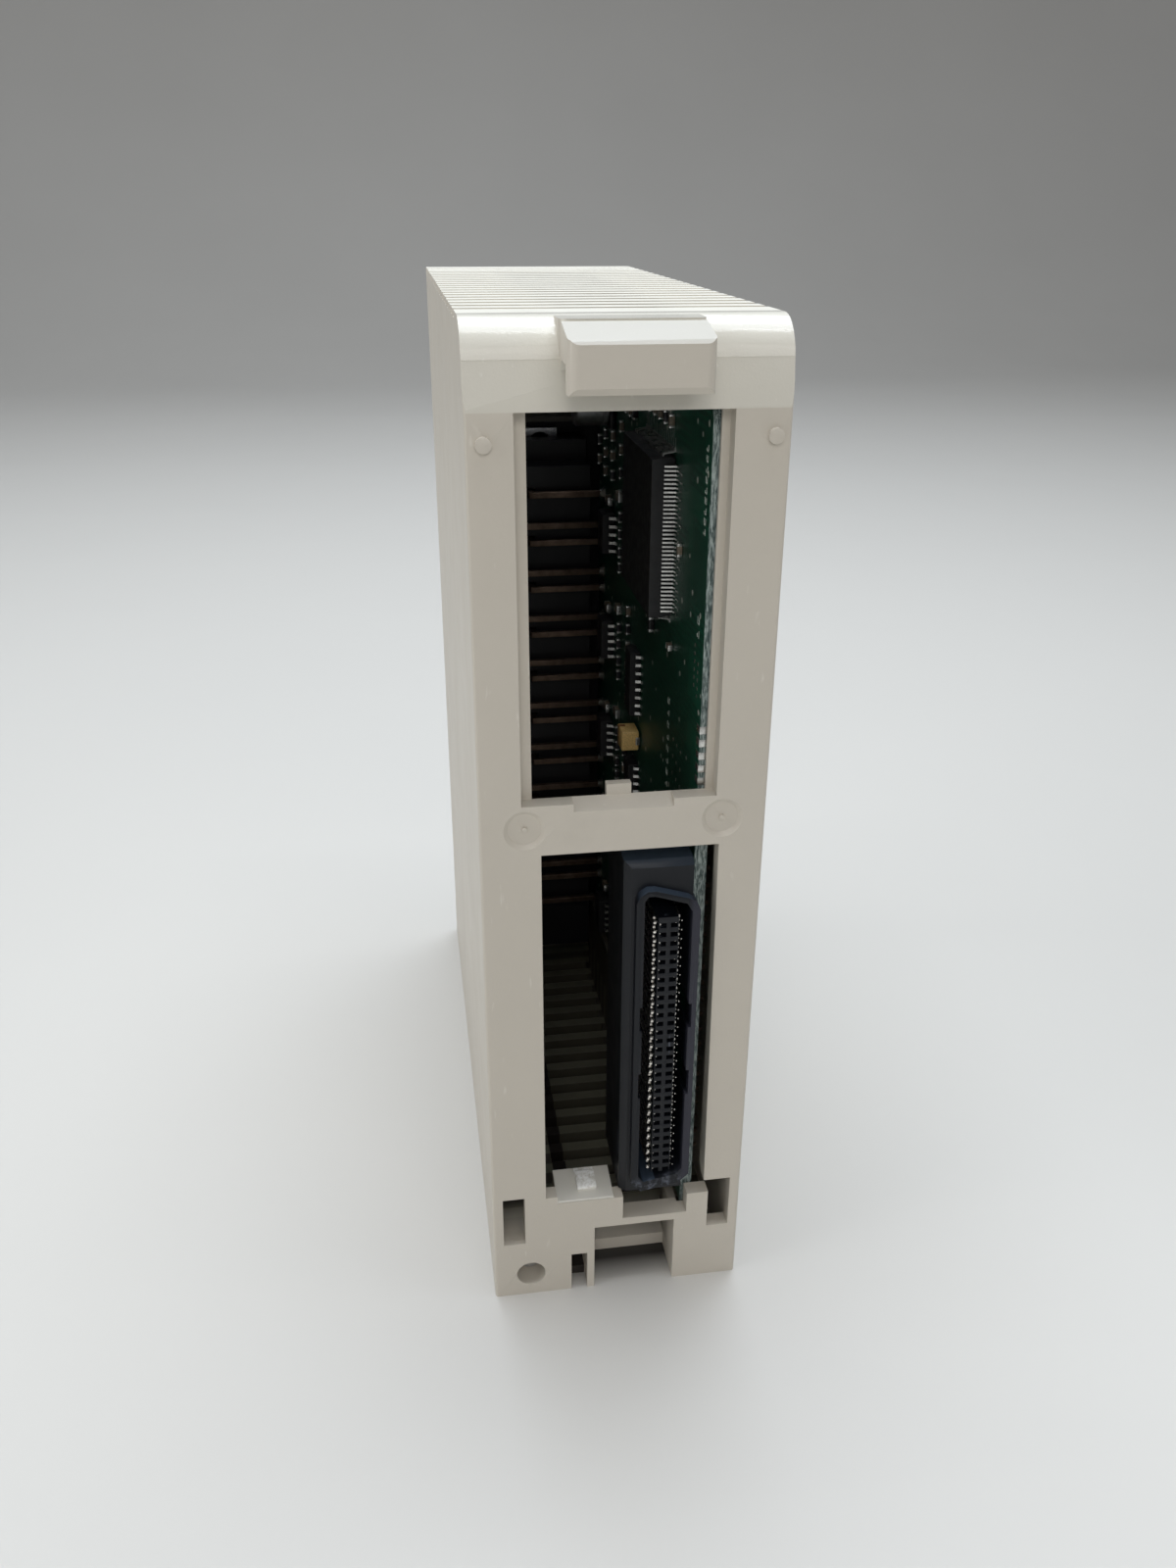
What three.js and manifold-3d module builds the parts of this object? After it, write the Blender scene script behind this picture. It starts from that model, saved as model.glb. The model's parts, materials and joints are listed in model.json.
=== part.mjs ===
// Rack input/output module for a programmable controller: a tall, narrow moulded case that hooks on a
// backplane, with a removable two-column terminal block and a row of indicators on the front.
// Millimetres. The drawing frame used below has x from the left side seen from the rear, y from the rear
// face towards the front, and z up from the base. The root group recentres it on the base's middle.
import * as THREE from 'three';
import { mergeVertices } from 'three/addons/utils/BufferGeometryUtils.js';
import Module from 'manifold-3d';

const wasm = await Module();
wasm.setup();

// ---------------------------------------------------------------- driving dimensions
const WIDTH = 34.5;
const HEIGHT = 130;
const DEPTH = 100;
const WALL = 1.4;
const REAR_WALL = 2.2;
const FLOOR = 2.0;
const ROOF = 1.6;
const CLEAR = 0.3;
const EDGE_RADIUS = 0.45;

const VENT_PITCH = 4.15;
const VENT_FIRST = 12.5;
const VENT_COUNT = 18;
const SPLIT_Y = VENT_FIRST + VENT_COUNT * VENT_PITCH;
const CASE_END = SPLIT_Y - 0.15;
const BEZEL_START = SPLIT_Y + 0.15;
const VENT_X = [10.6, 24.6];

const CREASE_Z = 121;
const HOOK_X = [10.0, 24.8];
const HOOK_REACH = 5.5;
const HOOK_CREST_Z = 129.7;
const HOOK_NOSE_Z = 128.4;
const HOOK_LIP_Y = -3.3;
const HOOK_LIP_Z = 123.2;
const HOOK_SEAT_Z = 126;

const UPPER_WINDOW = { x0: 5.05, x1: 28.3, z0: 76.55, z1: 121 };
const WINDOW_LEDGE_X = 6.5;
const LOWER_WINDOW = { x0: 7.3, x1: 28.9, x1Foot: 29.3, z0: 17.05, z1: 70.05 };
const TAB = { x0: 8.9, x1: 16.7, z: 15.95, y1: 5.8 };
const BUS_SILL = { x0: 18.0, x1: 27.0, z: 12.1 };
const POST_Z = 15.3;
const SOCKET_Z1 = 17.45;

const BOARD = { x0: 26.65, x1: 28.25, y0: 2.9, y1: 79.5, z0: 11.3, z1: 125.5 };

const BUS = { x0: 17.5, x1: 26.1, y0: 0.4, y1: 12, z0: 16.6, z1: 67.95, chamfer: 0.8 };
const BUS_ROWS = 30;
const BUS_PITCH = 1.336;
const BUS_FIRST_Z = 21.0;
const TONGUE_X = [21.7, 24.25];
const LATCH_SLOT_Z = [[33.5, 37.4], [44.2, 47.8]];

const TERMINAL_ROWS = 10;
const TERMINAL_PITCH = 7.9;
const LEFT_PIN = { x: 5.6, z: 20.5 };
const MID_PIN = { x: 14.5, z: 25.6 };
const PIN_SIZE = 1.0;
const PIN_BAR_Y = 73.4;
const PIN_TIP_Y = 85.6;

const HEADER = { x0: 3.4, x1: 24.6, y0: 75.5, y1: 84.6, z0: 18, z1: 101 };
const FLANGE = { y: 80, y1: 86.4, z0: 9.6, z1: 104.4 };
const BLOCK = { x0: 2.6, x1: 31.6, y0: 86.7, y1: 90.4, z0: 8.8, z1: 106.2 };
const BARRIER_Y = 96.4;
const BLOCK_SCREW_X = 17.25;
const BLOCK_SCREW_Z = [11.9, 103.1];
const BLOCK_NUT = { width: 5.7, height: 5, y0: 84.4, y1: 86.2, hole: 1.95 };
const SCREW_COLUMN_X = [9.6, 25.0];

const COVER = { x0: 3.7, x1: 31.5, y0: 98.0, y1: 99.4, z0: 10.5, z1: 104.5 };
const HINGE = { x: 3.7, y: 98.3, r: 1.2, pinR: 0.8 };

const MOUNT_HOLE = { x: 5.1, z: 3.7, r: 2.0 };
const CHANNEL = { x0: 1.3, x1: 8.9, y0: 4.6, y1: 81.5, roof: 8.0 };

// ---------------------------------------------------------------- materials
const material = (color, roughness, metalness = 0) =>
  new THREE.MeshStandardMaterial({ color, roughness, metalness });
const beige = material(0xc9c4b6, 0.5);
const blackPlastic = material(0x1c1d20, 0.55);
const navyPlastic = material(0x23262e, 0.45);
const boardGreen = material(0x0f4a34, 0.4);
const chipBlack = material(0x16171a, 0.5);
const tin = material(0xc8c8c4, 0.3, 1);
const brassTin = material(0xa8885c, 0.35, 1);
const steel = material(0xb4b6b8, 0.3, 1);
const tantalumTan = material(0xb98a3a, 0.5);
const smoke = material(0x2a2624, 0.15);
const whiteCard = material(0xeeeeea, 0.7);
const ledGreen = material(0x9fd8a0, 0.3);
const nylon = material(0xe6e4dc, 0.5);

// ---------------------------------------------------------------- solids
function solid(geometry) {
  const bare = geometry.clone();
  bare.deleteAttribute('normal');
  bare.deleteAttribute('uv');
  const merged = mergeVertices(bare, 1e-4);
  return new wasm.Manifold(new wasm.Mesh({
    numProp: 3,
    vertProperties: new Float32Array(merged.attributes.position.array),
    triVerts: new Uint32Array(merged.index.array),
  }));
}

function box(x0, x1, y0, y1, z0, z1) {
  const geometry = new THREE.BoxGeometry(x1 - x0, y1 - y0, z1 - z0);
  geometry.translate((x0 + x1) / 2, (y0 + y1) / 2, (z0 + z1) / 2);
  return solid(geometry);
}

function outline(points) {
  return new THREE.Shape(points.map(([a, b]) => new THREE.Vector2(a, b)));
}

function extrude(shape, length) {
  return new THREE.ExtrudeGeometry(shape, { depth: length, bevelEnabled: false, curveSegments: 8 });
}

// Outline in y and z, swept along x.
function prismX(points, x0, x1) {
  const geometry = extrude(outline(points), x1 - x0);
  const basis = new THREE.Matrix4().makeBasis(
    new THREE.Vector3(0, 1, 0), new THREE.Vector3(0, 0, 1), new THREE.Vector3(1, 0, 0));
  geometry.applyMatrix4(basis);
  geometry.translate(x0, 0, 0);
  return solid(geometry);
}

// Outline in x and z, swept along y.
function prismY(points, y0, y1) {
  const geometry = extrude(outline(points), y1 - y0);
  const basis = new THREE.Matrix4().makeBasis(
    new THREE.Vector3(1, 0, 0), new THREE.Vector3(0, 0, 1), new THREE.Vector3(0, -1, 0));
  geometry.applyMatrix4(basis);
  geometry.translate(0, y1, 0);
  return solid(geometry);
}

// Outline in x and y, swept along z.
function prismZ(points, z0, z1) {
  const geometry = extrude(outline(points), z1 - z0);
  geometry.translate(0, 0, z0);
  return solid(geometry);
}

function cylinderY(x, z, radius, y0, y1, sides = 20, radiusEnd = radius) {
  const geometry = new THREE.CylinderGeometry(radiusEnd, radius, y1 - y0, sides);
  geometry.translate(x, (y0 + y1) / 2, z);
  return solid(geometry);
}

function cylinderZ(x, y, radius, z0, z1, sides = 20) {
  const geometry = new THREE.CylinderGeometry(radius, radius, z1 - z0, sides);
  geometry.rotateX(Math.PI / 2);
  geometry.translate(x, y, (z0 + z1) / 2);
  return solid(geometry);
}

function joined(solids) {
  return wasm.Manifold.union(solids);
}

function range(count, make) {
  return Array.from({ length: count }, (_, i) => make(i));
}

function arc(cx, cy, radius, from, to, steps) {
  return range(steps + 1, (i) => {
    const angle = ((from + ((to - from) * i) / steps) * Math.PI) / 180;
    return [cx + radius * Math.cos(angle), cy + radius * Math.sin(angle)];
  });
}

const root = new THREE.Group();
root.position.set(-WIDTH / 2, -(DEPTH - HOOK_REACH) / 2, 0);

function add(name, shape, finish) {
  const result = shape.getMesh();
  const geometry = new THREE.BufferGeometry();
  const positions = [];
  for (let i = 0; i < result.numVert; i += 1) {
    positions.push(...result.vertProperties.slice(i * result.numProp, i * result.numProp + 3));
  }
  geometry.setAttribute('position', new THREE.Float32BufferAttribute(positions, 3));
  geometry.setIndex(Array.from(result.triVerts));
  geometry.computeVertexNormals();
  const mesh = new THREE.Mesh(geometry, finish);
  mesh.name = name;
  root.add(mesh);
}

// ---------------------------------------------------------------- case
// Side outline of the case: flat rear face, a crease, then a cap that leans back and rounds into the top.
function capOutline(inset) {
  const cap = [[0, CREASE_Z], [0.9, 126]];
  const round = arc(5.6, 125.2, 4.8, 170, 90, 10);
  return [...cap, ...round].map(([y, z]) => [y + inset.y, z - inset.z]);
}

function caseBody() {
  const outer = prismX(
    [[0, 0], [CASE_END, 0], [CASE_END, HEIGHT], ...capOutline({ y: 0, z: 0 }).reverse()], 0, WIDTH);
  const plan = prismZ([
    [EDGE_RADIUS, 0], [WIDTH - EDGE_RADIUS, 0],
    ...arc(WIDTH - EDGE_RADIUS, EDGE_RADIUS, EDGE_RADIUS, -60, 0, 2),
    [WIDTH, CASE_END + 1], [0, CASE_END + 1],
    ...arc(EDGE_RADIUS, EDGE_RADIUS, EDGE_RADIUS, 180, 240, 2),
  ], -1, HEIGHT + 1);
  const inner = prismX([
    [REAR_WALL, FLOOR], [CASE_END + 1, FLOOR], [CASE_END + 1, HEIGHT - ROOF],
    ...capOutline({ y: REAR_WALL, z: ROOF }).reverse(),
  ], WALL, WIDTH - WALL);
  return outer.intersect(plan).subtract(inner);
}

// Roof grooves run the full width; the middle of each is cut through as a vent. The floor has plain slots.
function ventCuts() {
  const grooves = range(VENT_COUNT + 1, (i) => {
    const y = VENT_FIRST + i * VENT_PITCH;
    return box(-1, WIDTH + 1, y - 0.75, y + 0.75, HEIGHT - 0.8, HEIGHT + 1);
  });
  const slots = range(VENT_COUNT, (i) => {
    const y = VENT_FIRST + i * VENT_PITCH;
    return joined([
      box(VENT_X[0], VENT_X[1], y - 0.6, y + 0.6, HEIGHT - 3, HEIGHT),
      box(VENT_X[0], VENT_X[1], y - 1.05, y + 1.05, -1, FLOOR + 1),
    ]);
  });
  return joined([...grooves, ...slots.slice(0, VENT_COUNT - 1)]);
}

function windowCuts() {
  const u = UPPER_WINDOW;
  const l = LOWER_WINDOW;
  const upper = joined([
    box(u.x0, u.x1, -1, REAR_WALL + 1, u.z0, u.z1),
    prismX([[-1, 75.1], [0, 75.55], [REAR_WALL, u.z0], [-1, 77.2]], 11.2, 23.2),
  ]);
  const lower = prismY([
    [l.x0, l.z1], [l.x0, l.z0], [TAB.x0, l.z0], [TAB.x0, TAB.z], [BUS_SILL.x0, TAB.z],
    [BUS_SILL.x0, BUS_SILL.z], [BUS_SILL.x1, BUS_SILL.z], [BUS_SILL.x1, POST_Z], [30.1, POST_Z],
    [30.1, SOCKET_Z1], [l.x1Foot, SOCKET_Z1], [l.x1, l.z1],
  ], -1, REAR_WALL + 4.4);
  return joined([upper, lower]);
}

function faceCuts() {
  const recesses = [[5.4, 73.45], [29.15, 73.5]].map(([x, z]) => cylinderY(x, z, 2.55, -0.01, 0.5, 24, 2.0));
  return joined([
    box(1.4, 4.4, -1, REAR_WALL + 0.1, 9.35, 17.45),
    box(30.0, 33.05, -1, REAR_WALL + 0.1, 9.1, SOCKET_Z1),
    box(10.8, 13.05, -1, REAR_WALL + 0.5, -1, 6.4),
    box(10.8, 13.05, -1, 9, FLOOR - 0.6, 6.4),
    box(14.05, 25.3, -1, 6.7, -1, 10.9),
    cylinderY(MOUNT_HOLE.x, MOUNT_HOLE.z, MOUNT_HOLE.r, -1, CHANNEL.y0 + 1, 24),
    box(14.3, 21.7, -1, 1.0, 122.8, HOOK_SEAT_Z - 1.2),
    ...recesses,
  ]);
}

// The hook hangs on the backplane's rail: a neck off the cap, and a lip that turns down behind the rail.
// Its top falls a little towards the lip, and a thin groove parts it from the boss that it grows out of.
function hook() {
  const side = prismX([
    [2.6, HOOK_CREST_Z], [0.35, HOOK_CREST_Z], [0.35, HOOK_CREST_Z - 0.4], [0, HOOK_CREST_Z - 0.4],
    [0, HOOK_CREST_Z], [-HOOK_REACH + 0.4, HOOK_NOSE_Z], [-HOOK_REACH, HOOK_NOSE_Z - 0.4],
    [-HOOK_REACH, HOOK_LIP_Z + 0.7], [-HOOK_REACH + 0.6, HOOK_LIP_Z], [HOOK_LIP_Y, HOOK_LIP_Z],
    [HOOK_LIP_Y, HOOK_SEAT_Z], [-0.1, HOOK_SEAT_Z], [1.2, HOOK_SEAT_Z - 1.6],
  ], HOOK_X[0], HOOK_X[1]);
  const corner = 1.1;
  const plan = prismZ([
    [HOOK_X[0], 4],
    ...arc(HOOK_X[0] + corner, -HOOK_REACH + corner, corner, 180, 270, 5),
    ...arc(HOOK_X[1] - corner, -HOOK_REACH + corner, corner, 270, 360, 5),
    [HOOK_X[1], 4],
  ], 120, HEIGHT);
  const boss = prismZ([
    ...arc(HOOK_X[0] + 0.8, 1.35, 1.0, 180, 270, 4), ...arc(HOOK_X[1] - 0.8, 1.35, 1.0, 270, 360, 4),
    [HOOK_X[1] + 0.2, 4.6], [HOOK_X[0] - 0.2, 4.6],
  ], HOOK_SEAT_Z + 0.4, HEIGHT - 0.1);
  return side.intersect(plan).add(boss);
}

function caseAdditions() {
  const studs = [[1.9, 117.9], [32.7, 118.2]].map(([x, z]) => cylinderY(x, z, 0.85, -0.5, 1, 16));
  const nibs = [[5.4, 73.45], [29.15, 73.5]].map(([x, z]) => cylinderY(x, z, 0.35, 0.15, 1, 8));
  const rails = [25.25, BOARD.x1 + CLEAR].map((x) => joined([
    box(x, x + 0.85, 16.6, 79.5, FLOOR - 0.5, 18.2),
    box(x, x + 0.85, 9, 79.5, 123.8, HEIGHT - ROOF + 0.5),
  ]));
  return joined([
    ...studs,
    ...nibs,
    ...rails,
    // ledge down the left side of the upper window, and an upright tab behind its sill
    box(3.8, WINDOW_LEDGE_X, REAR_WALL - 0.1, 3.4, 74.4, 122.4),
    box(15.4, 18.4, REAR_WALL - 0.1, 3.2, 73.5, 77.9),
    // ledge behind the board's edge in the upper window, and jambs down the right side of both windows
    box(27.4, 29.6, REAR_WALL - 0.1, BOARD.y0 - CLEAR, 74.4, 122.4),
    box(BOARD.x1 + CLEAR, 29.6, REAR_WALL - 0.1, 7, 74.4, 122.4),
    box(LOWER_WINDOW.x1Foot, LOWER_WINDOW.x1Foot + 1.2, REAR_WALL - 0.1, 3.0, 18, 74.4),
    // clip tab with a raised bar on the lower window's bottom edge
    prismX([
      [0, 14.5], [TAB.y1, 14.5], [TAB.y1, TAB.z + 0.75], [0.3, TAB.z + 0.15], [0, TAB.z - 0.15],
    ], TAB.x0, TAB.x1),
    prismX([[1.7, TAB.z], [4.7, TAB.z + 0.3], [4.7, 17.2], [4.4, 17.35], [2.0, 17.05], [1.7, 16.8]], 11.9, 14.5),
    // cheeks of the bottom notch
    box(25.3, 26.4, 1, 9.5, 0, 10.9),
    box(13.05, 14.05, 1, 6.7, 0.0, 12),
    box(13.05, 26.0, 1, 2.9, 10.9, BUS_SILL.z),
    // roof and inner wall of the screwdriver channel
    box(1, 10, 1, CHANNEL.y1, CHANNEL.roof, CHANNEL.roof + 1.2),
    box(CHANNEL.x1, 10, 1, CHANNEL.y1, 0, CHANNEL.roof + 1),
    box(1, 10, 1, CHANNEL.y0, 0, CHANNEL.roof + 1),
  ]);
}

function makeCase() {
  const channel = box(CHANNEL.x0, CHANNEL.x1, CHANNEL.y0, CASE_END + 1, -1, CHANNEL.roof);
  const bossHole = cylinderY(MOUNT_HOLE.x, MOUNT_HOLE.z, MOUNT_HOLE.r, -1, CHANNEL.y0 + 1, 24);
  const bossBlock = box(1, 10, 0.5, CHANNEL.y0, 0, CHANNEL.roof + 1);
  return joined([caseBody().subtract(windowCuts()).subtract(faceCuts()).subtract(ventCuts()), hook()])
    .add(caseAdditions())
    .add(bossBlock)
    .subtract(channel)
    .subtract(bossHole)
    .subtract(box(14.05, 25.3, -1, 6.7, -1, 10.9));
}

add('case', makeCase(), beige);

// ---------------------------------------------------------------- front bezel
function makeBezel() {
  const shell = box(0, WIDTH, BEZEL_START, DEPTH, 0, HEIGHT).intersect(prismZ([
    [0, 80], [WIDTH, 80], ...arc(WIDTH - 1.2, DEPTH - 1.2, 1.2, 0, 90, 4),
    ...arc(1.2, DEPTH - 1.2, 1.2, 90, 180, 4),
  ], -1, HEIGHT + 1)).intersect(prismX([
    [80, 0], [DEPTH - 0.8, 0], [DEPTH, 0.8], ...arc(DEPTH - 1.6, HEIGHT - 1.6, 1.6, 0, 90, 4), [80, HEIGHT],
  ], -1, WIDTH + 1));
  const lip = WALL + CLEAR;
  const spigot = box(lip, WIDTH - lip, 82, BEZEL_START + 1, FLOOR + CLEAR + 7.2, HEIGHT - ROOF - CLEAR);
  const bay = joined([
    box(2.8, WIDTH - 2.8, 70, DEPTH - 3, FLANGE.z0 - CLEAR, 107),
    box(2.0, WIDTH - 2.6, FLANGE.y1, DEPTH + 1, BLOCK.z0 - CLEAR, BLOCK.z1 + CLEAR),
    box(-1, 2.1, 98.3, DEPTH + 1, BLOCK.z0 - CLEAR, BLOCK.z1 + CLEAR),
  ]);
  const indicatorBay = joined([
    box(2.8, WIDTH - 2.8, 70, 97.3, 107.8, HEIGHT - 2.4),
    box(4, 30.5, 80, DEPTH + 1, 109.4, 126),
  ]);
  const grooves = [1, 2].map((i) => {
    const y = SPLIT_Y + i * VENT_PITCH;
    return box(-1, WIDTH + 1, y - 0.75, y + 0.75, HEIGHT - 0.8, HEIGHT + 1);
  });
  const seam = box(-1, WIDTH + 1, SPLIT_Y - 1, SPLIT_Y + 0.75, HEIGHT - 0.8, HEIGHT + 1);
  const channel = box(CHANNEL.x0, CHANNEL.x1, 70, DEPTH + 1, -1, CHANNEL.roof);
  const chinHollow = box(CHANNEL.x1 + 1.4, WIDTH - 1.6, 80, DEPTH - 1.8, 1.8, 7.0);
  return joined([shell, spigot])
    .subtract(joined([bay, indicatorBay, ...grooves, seam, channel, chinHollow]));
}

add('front_bezel', makeBezel(), beige);

// ---------------------------------------------------------------- indicators
const LED_COLUMNS = 4;
const LED_ROWS = 5;
const ledPlace = (column, row) => [8.0 + column * 6.2, 111.8 + row * 2.95];
const ledPlaces = range(LED_COLUMNS * LED_ROWS, (i) => ledPlace(i % LED_COLUMNS, Math.floor(i / LED_COLUMNS)));

add('indicator_window', box(4.3, 30.2, 98.0, 99.7, 109.7, 125.7), smoke);
add('light_shield', box(4.3, 30.2, 91.6, 97.0, 109.7, 125.7).subtract(
  joined(ledPlaces.map(([x, z]) => box(x - 2.2, x + 2.2, 90, 98, z - 1.05, z + 1.05)))), blackPlastic);
add('indicator_board', box(3.3, 31.2, 87.6, 88.8, 108.3, 127.0), boardGreen);
add('indicator_lamps', joined([
  box(6.2, 28.4, 89.1, 89.4, 110.6, 124.8),
  ...ledPlaces.map(([x, z]) => box(x - 1, x + 1, 89.3, 90.4, z - 0.6, z + 0.6)),
]), ledGreen);
add('indicator_link', joined([
  box(22.6, 24.4, 80.4, 82.4, 110, 123.4),
  ...range(8, (i) => prismZ([
    [23.2, 76.8], [26.1, 76.8], [26.1, 77.4], [23.8, 77.4], [23.8, 87.3], [23.2, 87.3],
  ], 110.7 + i * 1.7, 111.3 + i * 1.7)),
]), blackPlastic);

// ---------------------------------------------------------------- main board
const leftPinZ = range(TERMINAL_ROWS, (i) => LEFT_PIN.z + i * TERMINAL_PITCH);
const midPinZ = range(TERMINAL_ROWS, (i) => MID_PIN.z + i * TERMINAL_PITCH);

function makeBoard() {
  const b = BOARD;
  const plate = prismX([
    [b.y0, b.z0], [b.y1, b.z0], [b.y1, b.z1], [b.y0 + 4, b.z1], [b.y0, b.z1 - 6],
  ], b.x0, b.x1);
  const holes = [...leftPinZ, ...midPinZ].map((z) => box(
    b.x0 - 1, b.x1 + 1, PIN_BAR_Y - 0.2, PIN_BAR_Y + PIN_SIZE + 0.2, z - 0.7, z + 0.7));
  return plate.subtract(joined(holes));
}

add('main_board', makeBoard(), boardGreen);

// A chip lies on the board: its package stands on a thin frame that reaches out to the tips of its legs.
const LEG_FRAME = 0.25;
function makeChip(c) {
  const foot = BOARD.x0 - 0.05;
  const legs = c.fourSided
    ? box(foot - LEG_FRAME, foot, c.y - c.reach, c.y + c.width + c.reach, c.z - c.reach, c.z + c.length + c.reach)
    : box(foot - LEG_FRAME, foot, c.y - c.reach, c.y + c.width + c.reach, c.z + 0.3, c.z + c.length - 0.3);
  const body = box(foot - 0.1 - c.height, foot - 0.1, c.y, c.y + c.width, c.z, c.z + c.length);
  return body.add(legs);
}

add('main_chip', makeChip({
  y: 20.2, z: 92.3, width: 20, length: 20, height: 2.9, reach: 1.0, fourSided: true,
}), chipBlack);

[71.0, 53.3, 36.2, 18.6].forEach((z, i) => {
  add(`logic_chip_${i + 1}`, makeChip({ y: 39.6, z, width: 4, length: 9.9, height: 1.5, reach: 1.0 }),
    chipBlack);
});

const COUPLER = { y: 62.8, firstZ: 19.4, pitch: 17.5, count: 5 };
range(COUPLER.count, (i) => add(`coupler_chip_${i + 1}`, makeChip({
  y: COUPLER.y, z: COUPLER.firstZ + i * COUPLER.pitch, width: 4.4, length: 6.4, height: 2.0, reach: 1.2,
}), chipBlack));

[65.9, 31.2].forEach((z, i) => {
  add(`tantalum_capacitor_${i + 1}`, box(BOARD.x0 - 2.9, BOARD.x0 - CLEAR, 38.6, 42.3, z, z + 3), tantalumTan);
});

function makeCanCapacitor() {
  const can = new THREE.CylinderGeometry(3.1, 3.1, 5.4, 20);
  can.rotateZ(Math.PI / 2);
  can.translate(BOARD.x0 - CLEAR - 3.3, 66.0, 112.0);
  return solid(can).add(box(BOARD.x0 - 1.1, BOARD.x0 - CLEAR, 62.7, 69.3, 108.7, 115.3));
}
add('can_capacitor', makeCanCapacitor(), steel);

// ---------------------------------------------------------------- bus connector
// The housing's mouth is a shroud that is narrower on one side, so that the mating plug goes in one way.
function makeBusHousing() {
  const side = prismX([
    [BUS.y0, BUS.z0], [BUS.y1, BUS.z0], [BUS.y1, BUS.z1], [BUS.y0 + BUS.chamfer, BUS.z1],
    [BUS.y0, BUS.z1 - BUS.chamfer],
  ], BUS.x0, BUS.x1);
  const plan = prismZ([
    [BUS.x0, BUS.y0 + 0.9], [BUS.x0 + 0.9, BUS.y0], [BUS.x1, BUS.y0], [BUS.x1, BUS.y1], [BUS.x0, BUS.y1],
  ], BUS.z0 - 1, BUS.z1 + 1);
  const rim = prismY([
    [18.8, 19.2], [20.2, 17.6], [25.4, 18.5], [26.8, 19.9], [26.8, 61.6], [26.4, 62.6], [25.4, 63.3],
    [21.2, 64.6], [20.2, 64.6], [19.3, 64.0], [18.8, 63.0],
  ], -1.0, BOARD.y0 - CLEAR);
  const cavity = prismY([
    [19.8, 20.2], [20.5, 19.2], [24.9, 20.0], [25.8, 21.0], [25.8, 61.4], [25.1, 62.6], [21.1, 63.9],
    [20.3, 63.9], [19.8, 63.2],
  ], -2, 8.4);
  const latchSlots = LATCH_SLOT_Z.map(([z0, z1]) => box(19.5, 26.2, -2, 7, z0, z1));
  const tongue = box(TONGUE_X[0], TONGUE_X[1], -0.4, 9, 20.3, 60.5);
  return joined([side.intersect(plan), rim])
    .subtract(joined([cavity, ...latchSlots]))
    .add(tongue);
}

add('bus_connector_housing', makeBusHousing(), navyPlastic);
// Each row of contacts is one strip beside the tongue, and each row of legs one fin to the board.
const BUS_CONTACT_Z = [BUS_FIRST_Z - BUS_PITCH / 2, BUS_FIRST_Z + (BUS_ROWS - 0.5) * BUS_PITCH];
const contactRow = (x0, x1) => box(x0, x1, 0.2, 8.1, ...BUS_CONTACT_Z);
add('bus_contacts_left', contactRow(TONGUE_X[0] - 0.45, TONGUE_X[0] - 0.1), brassTin);
add('bus_contacts_right', contactRow(TONGUE_X[1] + 0.1, TONGUE_X[1] + 0.45), brassTin);
add('bus_connector_legs', joined([
  box(23.6, 25.3, 12.3, 16.0, 18.4, 67.6),
  box(25.2, BOARD.x0 - 0.15, 12.9, 13.4, 19, 67),
  box(25.2, BOARD.x0 - 0.15, 14.9, 15.4, 19, 67),
]), tin);

// ---------------------------------------------------------------- fixed terminal header and its pins
// The header's two ends are flanges that hold a nut each for the screws of the terminal block.
function makeHeader() {
  const h = HEADER;
  const shell = joined([
    box(h.x0, h.x1, h.y0, h.y1, h.z0, h.z1),
    box(h.x0, h.x1, h.y0, FLANGE.y1, FLANGE.z0, h.z0 + 1),
    box(h.x0, h.x1, FLANGE.y, FLANGE.y1, h.z1 - 1, FLANGE.z1),
  ]);
  const trough = box(h.x0 + 1.2, h.x1 - 1.2, h.y0 + 3.5, FLANGE.y1 + 1, h.z0 + 1.2, h.z1 - 1.2);
  const hole = (x, z) => box(x - 0.7, x + 0.7, h.y0 - 1, h.y1, z - 0.7, z + 0.7);
  const nutSlot = (z) => joined([
    cylinderY(BLOCK_SCREW_X, z, BLOCK_NUT.hole, BLOCK_NUT.y0 - 1.2, FLANGE.y1 + 1, 16),
    box(
      BLOCK_SCREW_X - BLOCK_NUT.width / 2 - CLEAR, BLOCK_SCREW_X + BLOCK_NUT.width / 2 + CLEAR,
      BLOCK_NUT.y0 - CLEAR, FLANGE.y1 + 1,
      z - BLOCK_NUT.height / 2 - CLEAR, z + BLOCK_NUT.height / 2 + CLEAR,
    ),
  ]);
  return shell.subtract(joined([
    trough,
    ...leftPinZ.map((z) => hole(LEFT_PIN.x, z)),
    ...midPinZ.map((z) => hole(MID_PIN.x, z)),
    ...BLOCK_SCREW_Z.map(nutSlot),
  ]));
}

function blockNut(z) {
  const n = BLOCK_NUT;
  const x = BLOCK_SCREW_X;
  return box(x - n.width / 2, x + n.width / 2, n.y0, n.y1, z - n.height / 2, z + n.height / 2)
    .subtract(cylinderY(x, z, n.hole, n.y0 - 1, n.y1 + 1, 16));
}

// Each pin is cut flat from sheet: a bar across from the board, turned forwards through the header.
// A thin tie at the bottom of the header's trough holds the ten pins of a column together.
function pins(x, levels) {
  const half = PIN_SIZE / 2;
  const y = PIN_BAR_Y;
  return joined([
    box(x - 0.3, x + 0.3, 79.15, 79.45, levels[0], levels[levels.length - 1]),
    ...levels.map((z) => prismZ([
      [x - half, y], [BOARD.x1 + 1.2, y], [BOARD.x1 + 1.2, y + PIN_SIZE], [x + half, y + PIN_SIZE],
      [x + half, PIN_TIP_Y], [x - half, PIN_TIP_Y],
    ], z - half, z + half)),
  ]);
}

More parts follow.
